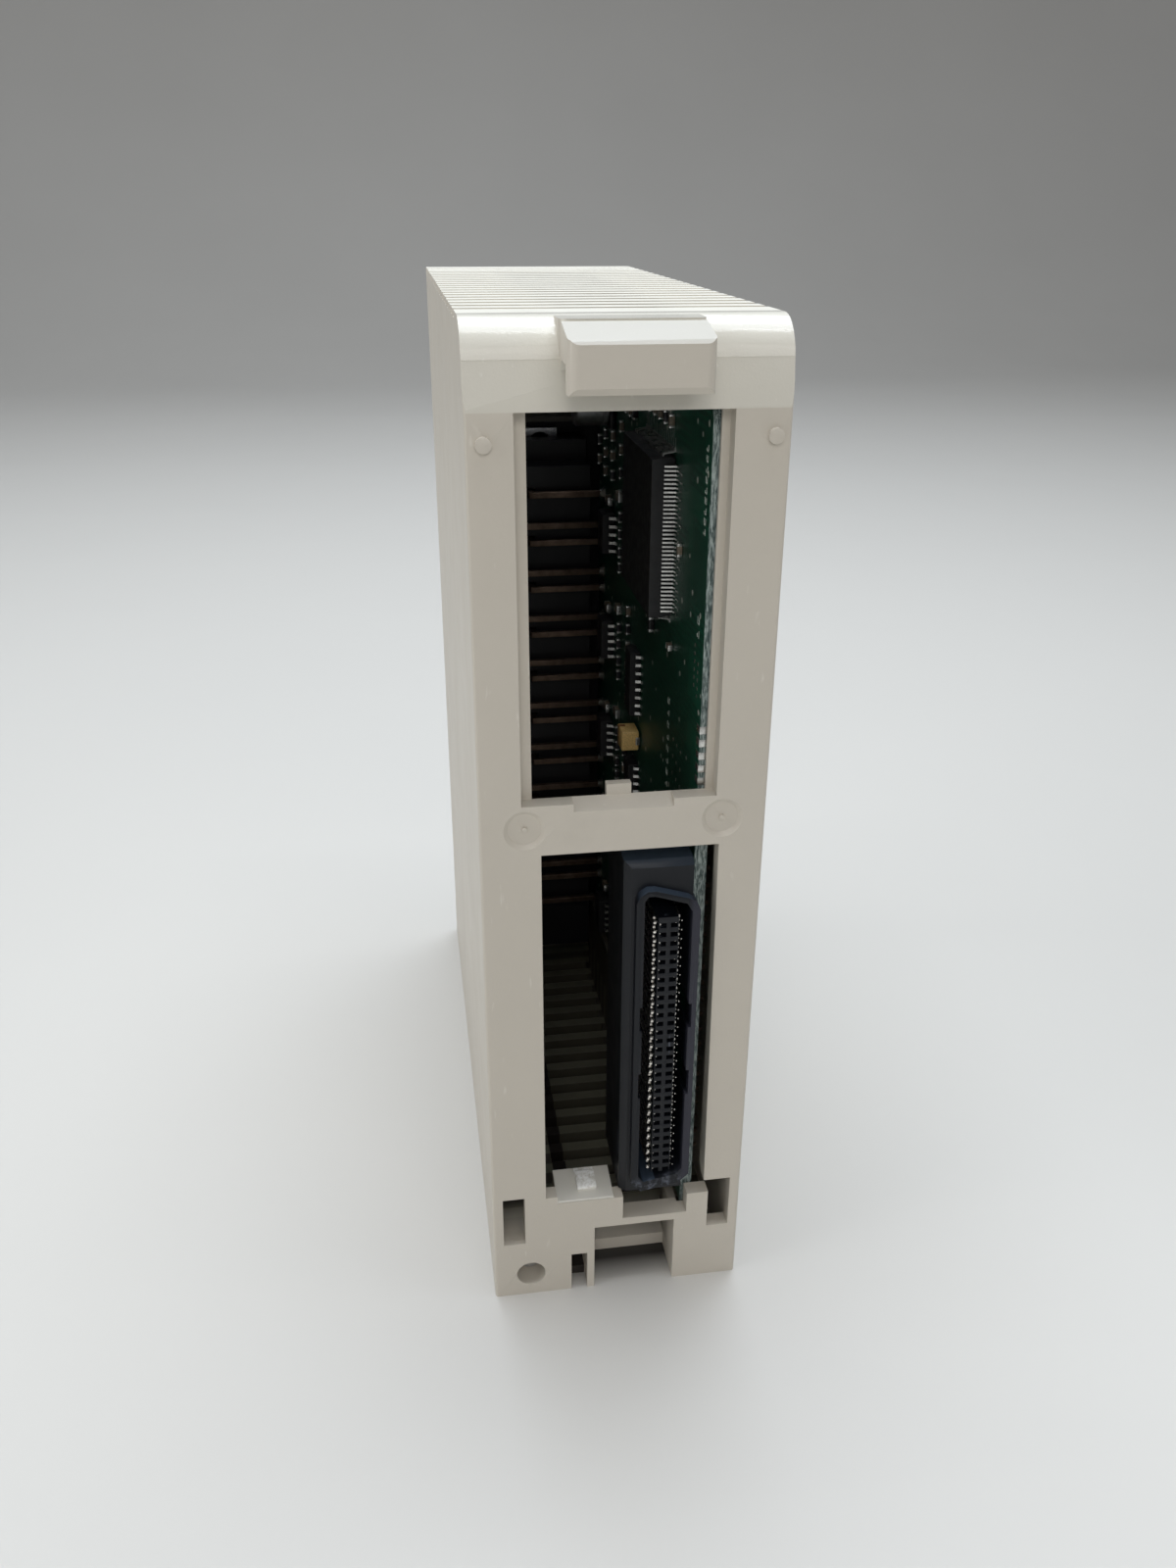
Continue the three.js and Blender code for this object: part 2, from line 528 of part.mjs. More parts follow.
add('terminal_header', makeHeader(), blackPlastic);
add('block_nut_lower', blockNut(BLOCK_SCREW_Z[0]), steel);
add('block_nut_upper', blockNut(BLOCK_SCREW_Z[1]), steel);
add('terminal_pins_left', pins(LEFT_PIN.x, leftPinZ), brassTin);
add('terminal_pins_middle', pins(MID_PIN.x, midPinZ), brassTin);

// ---------------------------------------------------------------- removable terminal block
const screwZ = [leftPinZ, midPinZ];

function makeBlock() {
  const b = BLOCK;
  const slab = box(b.x0, b.x1, b.y0, b.y1, b.z0, b.z1);
  const plug = box(HEADER.x0 + 1.5, HEADER.x1 - 1.5, HEADER.y0 + 4.2, b.y0 + 1, HEADER.z0 + 1.5, HEADER.z1 - 1.5);
  const spine = box(16.6, 17.9, b.y1 - 1, BARRIER_Y, 16.2, 99.4);
  const sides = [
    box(b.x0, b.x0 + 1, b.y1 - 1, BARRIER_Y - 1.4, 16.2, 99.4),
    box(b.x1 - 1, b.x1, b.y1 - 1, BARRIER_Y, 16.2, 99.4),
  ];
  const spans = [[b.x0, 17], [17, b.x1]];
  const barriers = spans.flatMap(([x0, x1], column) => range(TERMINAL_ROWS + 1, (i) => {
    const z = screwZ[column][0] + (i - 0.5) * TERMINAL_PITCH;
    return box(x0 + 0.01, x1 - 0.01, b.y1 - 1, BARRIER_Y - 1.4, z - 0.6, z + 0.6);
  }));
  const lugs = [[b.z0, COVER.z0 - CLEAR], [COVER.z1 + CLEAR, b.z1]].map(([z0, z1]) => joined([
    box(2.4, 5.2, b.y1 - 1, 99.6, z0, z1),
  ]));
  const pinHole = (x, z) => box(x - 0.7, x + 0.7, 70, b.y0 + 1, z - 0.7, z + 0.7);
  const screwHole = (x, z) => box(x - 1.7, x + 1.7, b.y0 + 0.4, b.y1 + 1, z - 1.7, z + 1.7);
  const cuts = joined([
    ...screwZ[0].map((z) => pinHole(LEFT_PIN.x, z)),
    ...screwZ[1].map((z) => pinHole(MID_PIN.x, z)),
    ...screwZ[0].map((z) => screwHole(SCREW_COLUMN_X[0], z)),
    ...screwZ[1].map((z) => screwHole(SCREW_COLUMN_X[1], z)),
    ...BLOCK_SCREW_Z.map((z) => cylinderY(BLOCK_SCREW_X, z, 1.95, 70, b.y1 + 1, 16)),
    ...BLOCK_SCREW_Z.map((z) => cylinderY(BLOCK_SCREW_X, z, 3.3, b.y1, BARRIER_Y + 1, 20)),
    ...SCREW_COLUMN_X.map((x) => box(x + 2.9, x + 4.3, 89.8, 90.9, 18, 99)),
    cylinderZ(HINGE.x, HINGE.y, HINGE.pinR + 0.09, 0, HEIGHT, 20),
  ]);
  return joined([slab, plug, spine, ...sides, ...barriers, ...lugs]).subtract(cuts);
}

add('terminal_block', makeBlock(), blackPlastic);

// Ten tinned plates stand in each column of terminals, tied together by a strip let into the block. They
// stand beside the screws, so that no screw passes through one.
function makePlates(x, levels) {
  const plates = levels.map((z) => box(x + 1.8, x + 4.8, 90.7, 91.2, z - 2.9, z + 2.9));
  return joined([...plates, box(x + 3.2, x + 4.0, 90.1, 90.8, levels[0], levels[levels.length - 1])]);
}
add('terminal_plates_left', makePlates(SCREW_COLUMN_X[0], screwZ[0]), tin);
add('terminal_plates_right', makePlates(SCREW_COLUMN_X[1], screwZ[1]), tin);

// A terminal screw carries its own square pressure plate under the head.
function terminalScrew(x, z) {
  return joined([
    cylinderY(x, z, 2.6, 92.3, 94.2, 10),
    box(x - 2.7, x + 2.7, 91.5, 92.4, z - 2.7, z + 2.7),
    cylinderY(x, z, 1.45, 87.5, 91.6, 6),
  ]);
}
screwZ.forEach((levels, column) => levels.forEach((z, row) => {
  const number = String(column * TERMINAL_ROWS + row + 1).padStart(2, '0');
  add(`terminal_screw_${number}`, terminalScrew(SCREW_COLUMN_X[column], z), steel);
}));

// The two longer screws that hold the block in the bezel.
function blockScrew(z) {
  const x = BLOCK_SCREW_X;
  const head = cylinderY(x, z, 2.9, 90.7, 93.0, 20);
  const shank = cylinderY(x, z, 1.65, BLOCK_NUT.y0 - 0.6, 90.8, 16);
  const cross = joined([
    box(x - 1.8, x + 1.8, 91.8, 94, z - 0.3, z + 0.3),
    box(x - 0.3, x + 0.3, 91.8, 94, z - 1.8, z + 1.8),
  ]);
  return joined([head, shank]).subtract(cross);
}
add('block_screw_lower', blockScrew(BLOCK_SCREW_Z[0]), steel);
add('block_screw_upper', blockScrew(BLOCK_SCREW_Z[1]), steel);

// ---------------------------------------------------------------- hinged terminal cover
function makeCover() {
  const c = COVER;
  const panel = box(c.x0, c.x1, c.y0, c.y1, c.z0, c.z1);
  const barrel = cylinderZ(HINGE.x, HINGE.y, HINGE.r, c.z0, c.z1, 20);
  const hingePins = cylinderZ(HINGE.x, HINGE.y, HINGE.pinR, c.z0 - 1.3, c.z1 + 1.3, 20);
  const skirt = box(c.x1 - 1.2, c.x1, 96.8, c.y1, c.z0, c.z1);
  const grip = box(c.x1 - 3.2, c.x1 - 0.6, c.y1 - 0.6, c.y1 + 0.5, 50, 66);
  const recess = box(6.4, 27.4, c.y1 - 0.5, c.y1 + 1, 16, 99);
  return joined([panel, barrel, hingePins, skirt, grip]).subtract(recess);
}

add('terminal_cover', makeCover(), beige);
add('cover_label', box(6.7, 27.1, 99.0, 99.25, 16.3, 98.7), whiteCard);

// ---------------------------------------------------------------- captive mounting screw
const mount = MOUNT_HOLE;
add('mounting_screw', (() => {
  const head = cylinderY(mount.x, mount.z, 3.4, 17.2, 19.8, 20);
  const shank = cylinderY(mount.x, mount.z, 1.8, 2.6, 17.3, 16);
  const cross = joined([
    box(mount.x - 2, mount.x + 2, 18.4, 21, mount.z - 0.35, mount.z + 0.35),
    box(mount.x - 0.35, mount.x + 0.35, 18.4, 21, mount.z - 2, mount.z + 2),
  ]);
  return joined([head, shank]).subtract(cross);
})(), steel);
add('mounting_screw_washer', cylinderY(mount.x, mount.z, 3.5, 15.9, 16.9, 20).subtract(
  cylinderY(mount.x, mount.z, 1.9, 15, 18, 20)), nylon);

export default root;
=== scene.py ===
"""Looks of a rack input/output module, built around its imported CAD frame. Lengths named here are in
millimetres in the same drawing frame as the CAD source: x from the left side seen from the rear, y from the
rear face towards the front, z up from the base. at() turns such a point into metres in the row frame."""
import json
import math
import bmesh
import bpy
from mathutils import Matrix, Vector


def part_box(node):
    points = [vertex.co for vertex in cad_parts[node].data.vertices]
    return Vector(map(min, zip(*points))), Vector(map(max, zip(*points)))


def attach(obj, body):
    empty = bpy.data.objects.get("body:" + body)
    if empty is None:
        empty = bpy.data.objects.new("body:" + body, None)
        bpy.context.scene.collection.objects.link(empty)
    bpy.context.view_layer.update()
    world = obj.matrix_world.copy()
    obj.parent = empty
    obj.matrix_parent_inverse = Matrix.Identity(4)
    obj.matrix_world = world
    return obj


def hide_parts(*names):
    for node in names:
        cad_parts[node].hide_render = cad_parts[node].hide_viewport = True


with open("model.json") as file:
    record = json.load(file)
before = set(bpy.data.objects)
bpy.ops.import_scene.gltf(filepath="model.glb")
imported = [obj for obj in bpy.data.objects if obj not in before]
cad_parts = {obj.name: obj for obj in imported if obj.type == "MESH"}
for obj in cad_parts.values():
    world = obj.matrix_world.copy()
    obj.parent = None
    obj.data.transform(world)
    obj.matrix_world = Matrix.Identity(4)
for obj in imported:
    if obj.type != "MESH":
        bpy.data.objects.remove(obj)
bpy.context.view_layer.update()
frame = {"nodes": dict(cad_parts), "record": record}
MM = 0.001
HOOK_REACH = 5.5
case_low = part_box("case")[0]
ORIGIN = Vector((case_low.x, case_low.y + HOOK_REACH * MM, case_low.z))
nodes = frame["nodes"]


def at(x, y, z):
    return ORIGIN + Vector((x, y, z)) * MM


def drawn(node):
    """Lowest and highest corner of a CAD node in the drawing frame, in millimetres."""
    low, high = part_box(node)
    return (low - ORIGIN) / MM, (high - ORIGIN) / MM


# ------------------------------------------------------------------ camera, light and floor
CAMERA_PLACE = (-7.0, -131.1, 141.0)
CAMERA_YAW = math.radians(8.62)
CAMERA_PITCH = math.radians(25.03)
CAMERA_ROLL = math.radians(0.22)
CAMERA_LENS = 28.955


def make_camera():
    """Yaw turns the camera to the right of straight ahead, and pitch tips it down."""
    data = bpy.data.cameras.new("camera")
    data.sensor_fit = "VERTICAL"
    data.sensor_height = 36
    data.sensor_width = 36
    data.lens = CAMERA_LENS
    data.clip_start = 0.01
    camera = bpy.data.objects.new("camera", data)
    bpy.context.scene.collection.objects.link(camera)
    forward = Vector((
        math.sin(CAMERA_YAW) * math.cos(CAMERA_PITCH),
        math.cos(CAMERA_YAW) * math.cos(CAMERA_PITCH),
        -math.sin(CAMERA_PITCH),
    ))
    level = Vector((math.cos(CAMERA_YAW), -math.sin(CAMERA_YAW), 0))
    upright = level.cross(forward)
    right = level * math.cos(CAMERA_ROLL) + upright * math.sin(CAMERA_ROLL)
    up = upright * math.cos(CAMERA_ROLL) - level * math.sin(CAMERA_ROLL)
    turn = Matrix((right, up, -forward)).transposed().to_4x4()
    camera.matrix_world = Matrix.Translation(at(*CAMERA_PLACE)) @ turn
    bpy.context.scene.camera = camera


def make_area_light(name, place, target, size, power, color):
    data = bpy.data.lights.new(name, "AREA")
    data.shape = "RECTANGLE"
    data.size, data.size_y = size
    data.energy = power
    data.color = color
    light = bpy.data.objects.new(name, data)
    light.location = place
    light.rotation_mode = "QUATERNION"
    light.rotation_quaternion = (Vector(place) - Vector(target)).to_track_quat("Z", "Y")
    bpy.context.scene.collection.objects.link(light)


def make_world(strength):
    world = bpy.data.worlds.new("studio")
    world.use_nodes = True
    background = world.node_tree.nodes["Background"]
    background.inputs["Color"].default_value = (0.86, 0.88, 0.92, 1)
    background.inputs["Strength"].default_value = strength
    bpy.context.scene.world = world


# ------------------------------------------------------------------ shaders
class Shader:
    """A node material being built round one Principled BSDF."""

    def __init__(self, name, **sockets):
        self.material = bpy.data.materials.new(name)
        self.material.use_nodes = True
        self.tree = self.material.node_tree
        self.bsdf = next(n for n in self.tree.nodes if n.type == "BSDF_PRINCIPLED")
        self.place = self.add("ShaderNodeTexCoord").outputs["Object"]
        for socket, value in sockets.items():
            self.set(socket.replace("_", " "), value)

    def put(self, socket, value):
        if isinstance(value, bpy.types.NodeSocket):
            self.tree.links.new(value, socket)
        else:
            socket.default_value = value

    def set(self, socket, value):
        self.put(self.bsdf.inputs[socket], value)

    def add(self, kind, inputs=None, **settings):
        made = self.tree.nodes.new(kind)
        for key, value in settings.items():
            setattr(made, key, value)
        for key, value in (inputs or {}).items():
            self.put(made.inputs[key], value)
        return made

    def math(self, operation, a, b=0.0, c=0.0):
        made = self.add("ShaderNodeMath", {0: a, 1: b, 2: c}, operation=operation)
        return made.outputs[0]

    def noise(self, scale, detail=3.0, rough=0.5, stretch=(1, 1, 1)):
        place = self.place
        if stretch != (1, 1, 1):
            place = self.add("ShaderNodeMapping", {"Vector": place, "Scale": stretch}).outputs[0]
        made = self.add("ShaderNodeTexNoise", {
            "Vector": place, "Scale": scale, "Detail": detail, "Roughness": rough})
        return made.outputs["Fac"]

    def ramp(self, value, low, high, to_low=0.0, to_high=1.0):
        made = self.add("ShaderNodeMapRange", {
            "Value": value, "From Min": low, "From Max": high, "To Min": to_low, "To Max": to_high})
        return made.outputs["Result"]

    def mix(self, factor, a, b):
        made = self.add("ShaderNodeMix", data_type="RGBA")
        self.put(made.inputs[0], factor)
        self.put(made.inputs[6], a)
        self.put(made.inputs[7], b)
        return made.outputs[2]

    def bump(self, height, distance, strength=1.0):
        made = self.add("ShaderNodeBump", {"Height": height, "Distance": distance, "Strength": strength})
        return made.outputs["Normal"]

    def drawing(self):
        """The x, y and z of the shaded point in the drawing frame, in millimetres."""
        shifted = self.add("ShaderNodeVectorMath", {0: self.place, 1: ORIGIN}, operation="SUBTRACT")
        scaled = self.add(
            "ShaderNodeVectorMath", {0: shifted.outputs[0], 1: (1 / MM,) * 3}, operation="MULTIPLY")
        split = self.add("ShaderNodeSeparateXYZ", {"Vector": scaled.outputs[0]})
        return [split.outputs[name] for name in "XYZ"]

    def facing(self, name):
        """How far the surface faces along one axis, from -1 to 1."""
        normal = self.add("ShaderNodeTexCoord").outputs["Normal"]
        return self.add("ShaderNodeSeparateXYZ", {"Vector": normal}).outputs[name]

    def both(self, *masks):
        """The product of masks: 1 only where all of them are."""
        product = masks[0]
        for mask in masks[1:]:
            product = self.math("MULTIPLY", product, mask)
        return product

    def off(self, value, middle):
        """The distance between a value and a middle."""
        return self.math("ABSOLUTE", self.math("SUBTRACT", value, middle))

    def near(self, value, middle, reach):
        """1 where a value is less than reach from the middle."""
        return self.math("LESS_THAN", self.off(value, middle), reach)

    def specks(self, scale, radius, share):
        """1 inside small round spots: one in each Voronoi cell, kept in that share of the cells."""
        cells = self.add("ShaderNodeTexVoronoi", {"Vector": self.place, "Scale": scale})
        spot = self.math("LESS_THAN", cells.outputs["Distance"], radius)
        pick = self.add("ShaderNodeSeparateColor", {"Color": cells.outputs["Color"]})
        kept = self.math("LESS_THAN", pick.outputs[0], share)
        return self.both(spot, kept)


def rgb(red, green, blue):
    """An sRGB colour from 0 to 255, as linear RGBA."""
    def linear(v):
        v /= 255
        return v / 12.92 if v <= 0.04045 else ((v + 0.055) / 1.055) ** 2.4
    return (linear(red), linear(green), linear(blue), 1.0)


def darker(color, by):
    return tuple(c * by for c in color[:3]) + (1.0,)


def moulded(name, color, roughness=0.45, grain=0.00003, worn=True):
    """Moulded plastic: fine spark-eroded grain, faint blotches, and a few dark specks."""
    s = Shader(name)
    blotch = s.ramp(s.noise(22, 4, 0.6), 0.35, 0.7)
    base = s.mix(blotch, darker(color, 0.955), color)
    grime = s.ramp(s.noise(55, 9, 0.72), 0.60, 0.78, 0.0, 0.4 if worn else 0.1)
    base = s.mix(grime, base, darker(color, 0.84))
    if worn:
        base = s.mix(s.specks(95, 0.022, 0.12), base, darker(color, 0.13))
    s.set("Base Color", base)
    s.set("Roughness", s.ramp(s.noise(140, 5, 0.6), 0.3, 0.7, roughness - 0.05, roughness + 0.06))
    s.set("Specular IOR Level", 0.42)
    s.set("Normal", s.bump(s.noise(3400, 2, 0.5), grain, 0.6))
    return s


# Places on the case where its surface changes, in the drawing frame.
MIDDLE_X = 17.25
CAP_BOTTOM = 121.02
CAP_FRONT = 7.0
HOOK_FRONT = -0.05
WALL_REACH = 15.8
INSIDE_LEVELS = (0.15, 128.5)
NOTCH_X, NOTCH_REACH = 19.8, 6.8
VENT_LEVEL = 9.4
VENT_FIRST = 12.5
VENT_PITCH = 4.15
TAB_FRONT = 6.2
SLOT_X, SLOT_REACH, SLOT_TOP = 11.9, 1.1, 6.3

BEIGE = rgb(203, 196, 183)
BEIGE_CAP = rgb(212, 208, 196)
# Painted light on the roof's upward faces.
BEIGE_TOP_PAINTED_LIGHT = rgb(219, 216, 205)
# Painted light on the tab.
BEIGE_TAB_PAINTED_LIGHT = rgb(216, 213, 203)
BEIGE_RUBBED = rgb(232, 229, 220)
# Painted glints on the tab's bump.
BEIGE_PAINTED_GLINT = rgb(250, 250, 246)
# Painted shade inside the case: lighter on the floor slats, darker elsewhere.
BEIGE_FLOOR_PAINTED_SHADE = rgb(112, 110, 95)
BEIGE_INSIDE_PAINTED_SHADE = rgb(74, 70, 60)
# Painted shade on the hook's top.
HOOK_TOP_PAINTED_SHADE = rgb(190, 187, 178)
# Painted shade in the slot beside the notch.
NOTCH_SHADE = rgb(44, 39, 35)


def cap_and_roof(s, color, y, z):
    """The paler cap above the crease, painted light on the upward faces of the roof and painted shade on the
    hook's top. Gives the colour and the cap's mask.
    """
    above = s.math("GREATER_THAN", z, CAP_BOTTOM)
    behind = s.math("LESS_THAN", y, CAP_FRONT)
    off_hook = s.math("GREATER_THAN", y, HOOK_FRONT)
    upward = s.ramp(s.facing("Z"), 0.35, 0.8)
    sideways = s.ramp(s.math("ABSOLUTE", s.facing("X")), 0.5, 0.9)
    cap = s.both(above, behind, off_hook, s.math("SUBTRACT", 1.0, sideways))
    color = s.mix(cap, color, BEIGE_CAP)
    # Upward faces above the crease: painted light on the roof, painted shade on the hook's top.
    return s.mix(s.both(above, upward), color, s.mix(off_hook, HOOK_TOP_PAINTED_SHADE, BEIGE_TOP_PAINTED_LIGHT)), cap


def painted_inside_shade(s, color, x, y, z):
    """Painted shade on the inside, from a few millimetres behind each opening, with the slats between the
    vents on the floor painted in a lighter shade than the gaps.
    """
    walls = s.near(x, MIDDLE_X, WALL_REACH)
    levels = s.both(s.math("GREATER_THAN", z, INSIDE_LEVELS[0]), s.math("LESS_THAN", z, INSIDE_LEVELS[1]))
    # The painted shade starts 7 mm further back in the notch, near the floor.
    notch_shade_delay = s.both(s.near(x, NOTCH_X, NOTCH_REACH), s.ramp(z, 2.2, 2.6, 7.0, 0.0))
    depth = s.both(s.ramp(s.math("SUBTRACT", y, notch_shade_delay), 3.0, 8.5), s.ramp(y, 90, 86))
    vent = s.math("DIVIDE", s.math("SUBTRACT", y, VENT_FIRST - VENT_PITCH / 2), VENT_PITCH)
    slat = s.ramp(s.off(s.math("FRACT", vent), 0.5), 0.24, 0.29)
    floor = s.both(s.math("LESS_THAN", z, VENT_LEVEL), slat)
    # Painted shade: the inside darkened, less on the floor slats than in the gaps.
    return s.mix(s.both(walls, levels, depth), color, s.mix(floor, BEIGE_INSIDE_PAINTED_SHADE, BEIGE_FLOOR_PAINTED_SHADE))


def painted_tab_light_and_slot_shade(s, color, x, y, z):
    """Painted light on the tab below the lower window, painted glints on its bump, and painted shade in the
    slot beside the notch.
    """
    outer = s.math("LESS_THAN", y, TAB_FRONT)
    tab = s.both(s.near(x, 12.8, 3.95), s.near(z, 16.7, 0.75), outer)
    # Painted light: the tab is painted paler.
    color = s.mix(tab, color, BEIGE_TAB_PAINTED_LIGHT)
    slot = s.both(s.near(x, SLOT_X, SLOT_REACH), s.math("LESS_THAN", z, SLOT_TOP), s.ramp(y, 0.3, 2.2))
    # Painted shade: the slot beside the notch is painted dark.
    color = s.mix(slot, color, NOTCH_SHADE)
    bump = s.both(s.near(x, 13.2, 1.35), s.near(z, 17.0, 0.5), outer)
    glint_specks = s.ramp(s.noise(1300, 5, 0.7), 0.38, 0.56)
    # Painted glints: near-white specks on the tab's bump.
    return s.mix(s.both(bump, glint_specks), color, BEIGE_PAINTED_GLINT)


def case_plastic():
    """The case's plastic: a glossier cap above the crease, fine rubbed marks, painted light on the roof and
    the tab, and painted shade on the inside and in the slot beside the notch.
    """
    s = moulded("case_plastic", BEIGE, 0.44)
    color = s.bsdf.inputs["Base Color"].links[0].from_socket
    rough = s.bsdf.inputs["Roughness"].links[0].from_socket
    x, y, z = s.drawing()
    color, cap = cap_and_roof(s, color, y, z)
    rubbed = s.ramp(s.noise(1500, 2, 0.4, stretch=(1, 5, 0.2)), 0.72, 0.78, 0.0, 0.3)
    color = s.mix(rubbed, color, BEIGE_RUBBED)
    # Painted shade on the inside.
    color = painted_inside_shade(s, color, x, y, z)
    s.set("Base Color", painted_tab_light_and_slot_shade(s, color, x, y, z))
    s.set("Roughness", s.math("SUBTRACT", rough, s.math("MULTIPLY", cap, 0.33)))
    return s.material


def black_plastic():
    return moulded("black_plastic", rgb(23, 23, 26), 0.42, 0.00002, worn=False).material


def navy_plastic():
    """The bus connector's blue-black plastic, with a painted lighter sheen on the upward faces at its ends, a
    painted grey sheen on the front of its right rim, and scuffed pale at its foot.
    """
    s = moulded("navy_plastic", rgb(15, 18, 24), 0.36, 0.000015, worn=False)
    s.set("Specular IOR Level", 0.3)
    base = s.bsdf.inputs["Base Color"].links[0].from_socket
    x, y, z = s.drawing()
    upward = s.ramp(s.facing("Z"), 0.3, 0.9)
    ends = s.math("GREATER_THAN", s.off(z, 40.4), 20.9)
    # Painted sheen: upward faces at the ends of the shroud painted a lighter blue.
    base = s.mix(s.both(upward, ends), base, rgb(50, 60, 72))
    right = s.ramp(x, 25.3, 26.0)
    rear = s.ramp(y, 0.4, -0.6)
    # Painted sheen: the front of the right rim painted greyer.
    base = s.mix(s.both(right, rear, 0.8), base, rgb(50, 50, 61))
    foot = s.both(s.ramp(z, 20.5, 18), rear)
    scuff = s.ramp(s.noise(520, 6, 0.7), 0.5, 0.68)
    streak = s.ramp(s.noise(900, 3, 0.5, stretch=(1, 1, 0.12)), 0.70, 0.76, 0.0, 0.35)
    where = s.math("MAXIMUM", s.both(foot, scuff), streak)
    s.set("Base Color", s.mix(where, base, rgb(122, 128, 142)))
    return s.material


def board_laminate():
    """Green solder mask over faint traces and vias on the flat sides, and bare fibre on the cut edges."""
    s = Shader("board_laminate")
    mask = rgb(8, 60, 44)
    squares = s.add("ShaderNodeTexVoronoi", {"Vector": s.place, "Scale": 85.0}, distance="CHEBYCHEV")
    steps = s.math("FRACT", s.math("MULTIPLY", squares.outputs["Distance"], 13.0))
    trace = s.math("LESS_THAN", steps, 0.42)
    vias = s.specks(330, 0.13, 0.4)
    green = s.mix(s.math("MULTIPLY", trace, 0.5), mask, rgb(18, 88, 64))
    green = s.mix(vias, green, rgb(176, 178, 168))
    strands = s.noise(6500, 4, 0.7, stretch=(1, 1, 0.14))
    fibre = s.mix(s.ramp(strands, 0.42, 0.62), rgb(62, 78, 76), rgb(168, 180, 176))
    flat = s.math("GREATER_THAN", s.math("ABSOLUTE", s.facing("X")), 0.6)
    s.set("Base Color", s.mix(flat, fibre, green))
    s.set("Roughness", s.ramp(flat, 0, 1, 0.75, 0.42))
    height = s.math("ADD", s.math("MULTIPLY", trace, flat), s.math("MULTIPLY", strands, 0.6))
    s.set("Normal", s.bump(height, 0.00004, 0.5))
    return s.material


def metal(name, color, roughness, dull=0.12, scale=500):
    """Plated metal with a mottled, slightly tarnished surface."""
    s = Shader(name, Metallic=1.0)
    spots = s.ramp(s.noise(scale, 5, 0.65), 0.4, 0.68)
    s.set("Base Color", s.mix(spots, color, darker(color, 0.72)))
    s.set("Roughness", s.math("ADD", s.math("MULTIPLY", spots, dull), roughness))
    s.set("Normal", s.bump(s.noise(scale * 4, 3, 0.5), 0.00001, 0.4))
    return s.material


def resin(name, color, roughness=0.55):
    """Moulding compound of a chip or capacitor: matt, with a fine sandy grain."""
    s = Shader(name)
    grit = s.noise(5200, 3, 0.6)
    s.set("Base Color", s.mix(s.ramp(grit, 0.35, 0.7), color, darker(color, 1.6)))
    s.set("Roughness", s.ramp(s.noise(900, 3), 0.3, 0.7, roughness - 0.08, roughness + 0.08))
    s.set("Normal", s.bump(grit, 0.000015, 0.5))
    return s.material


def smoked_window():
    """Dark translucent panel, hazed by fine rubbing marks."""
    s = Shader("smoked_window", IOR=1.49, Transmission_Weight=0.55, Coat_Weight=0.3)
    haze = s.ramp(s.noise(160, 8, 0.7), 0.45, 0.75)
    s.set("Base Color", s.mix(haze, rgb(58, 52, 47), rgb(70, 64, 58)))
    marks = s.ramp(s.noise(900, 2, 0.4, stretch=(0.08, 1, 1)), 0.66, 0.74)
    s.set("Roughness", s.math("ADD", s.math("MULTIPLY", marks, 0.2), s.ramp(haze, 0, 1, 0.08, 0.2)))
    return s.material


def lamp_resin():
    s = Shader("lamp_resin", Transmission_Weight=0.3, IOR=1.5)
    cloud = s.noise(1500, 3)
    s.set("Base Color", s.mix(cloud, rgb(196, 226, 186), rgb(158, 204, 160)))
    s.set("Roughness", s.ramp(cloud, 0.3, 0.7, 0.18, 0.34))
    return s.material


def nylon():
    s = Shader("nylon", Subsurface_Weight=0.25, Subsurface_Scale=0.001)
    cloud = s.noise(600, 4)
    s.set("Base Color", s.mix(cloud, rgb(232, 229, 216), rgb(214, 210, 196)))
    s.set("Roughness", s.ramp(cloud, 0.3, 0.7, 0.38, 0.55))
    return s.material


CARD_ROWS = 20


def card():
    """Blank white card with faint ruled rows and paper grain."""
    s = Shader("card")
    low, high = drawn("cover_label")
    x, _, z = s.drawing()
    share = s.math("FRACT", s.math("DIVIDE", s.math("SUBTRACT", z, low.z), (high.z - low.z) / CARD_ROWS))
    line = s.math("LESS_THAN", share, 0.055)
    middle = s.near(x, 17.0, 0.12)
    pulp = s.noise(2400, 5, 0.7)
    paper = s.mix(pulp, rgb(240, 239, 233), rgb(226, 224, 216))
    s.set("Base Color", s.mix(s.math("MAXIMUM", line, middle), paper, rgb(150, 152, 154)))
    s.set("Roughness", s.ramp(pulp, 0.3, 0.7, 0.6, 0.75))
    s.set("Normal", s.bump(pulp, 0.00002, 0.3))
    return s.material


def printed_white():
    s = Shader("printed_white")
    worn = s.ramp(s.noise(2600, 4, 0.6), 0.45, 0.7)
    s.set("Base Color", s.mix(worn, rgb(214, 218, 210), rgb(160, 176, 162)))
    s.set("Roughness", s.ramp(worn, 0, 1, 0.5, 0.7))
    return s.material


LOOKS = {
    "case_plastic": case_plastic(),
    "black_plastic": black_plastic(),
    "navy_plastic": navy_plastic(),
    "board_laminate": board_laminate(),
    "smoked_window": smoked_window(),
    "lamp_resin": lamp_resin(),
    "chip_resin": resin("chip_resin", rgb(17, 17, 19), 0.5),
    "tantalum_resin": resin("tantalum_resin", rgb(188, 158, 100), 0.5),
    "aluminium_can": metal("aluminium_can", rgb(206, 207, 208), 0.3),
    "gold_contact": metal("gold_contact", rgb(238, 234, 226), 0.24),
    "tinned_metal": metal("tinned_metal", rgb(212, 212, 208), 0.24),
    "pin_metal": metal("pin_metal", rgb(122, 104, 90), 0.42),
    "plated_steel": metal("plated_steel", rgb(196, 197, 198), 0.27),
    "nylon": nylon(),
    "card": card(),
}
PRINTED_WHITE = printed_white()
STRIPE = resin("tantalum_stripe", rgb(112, 74, 40), 0.45)
CERAMIC = resin("chip_ceramic", rgb(104, 94, 80), 0.45)
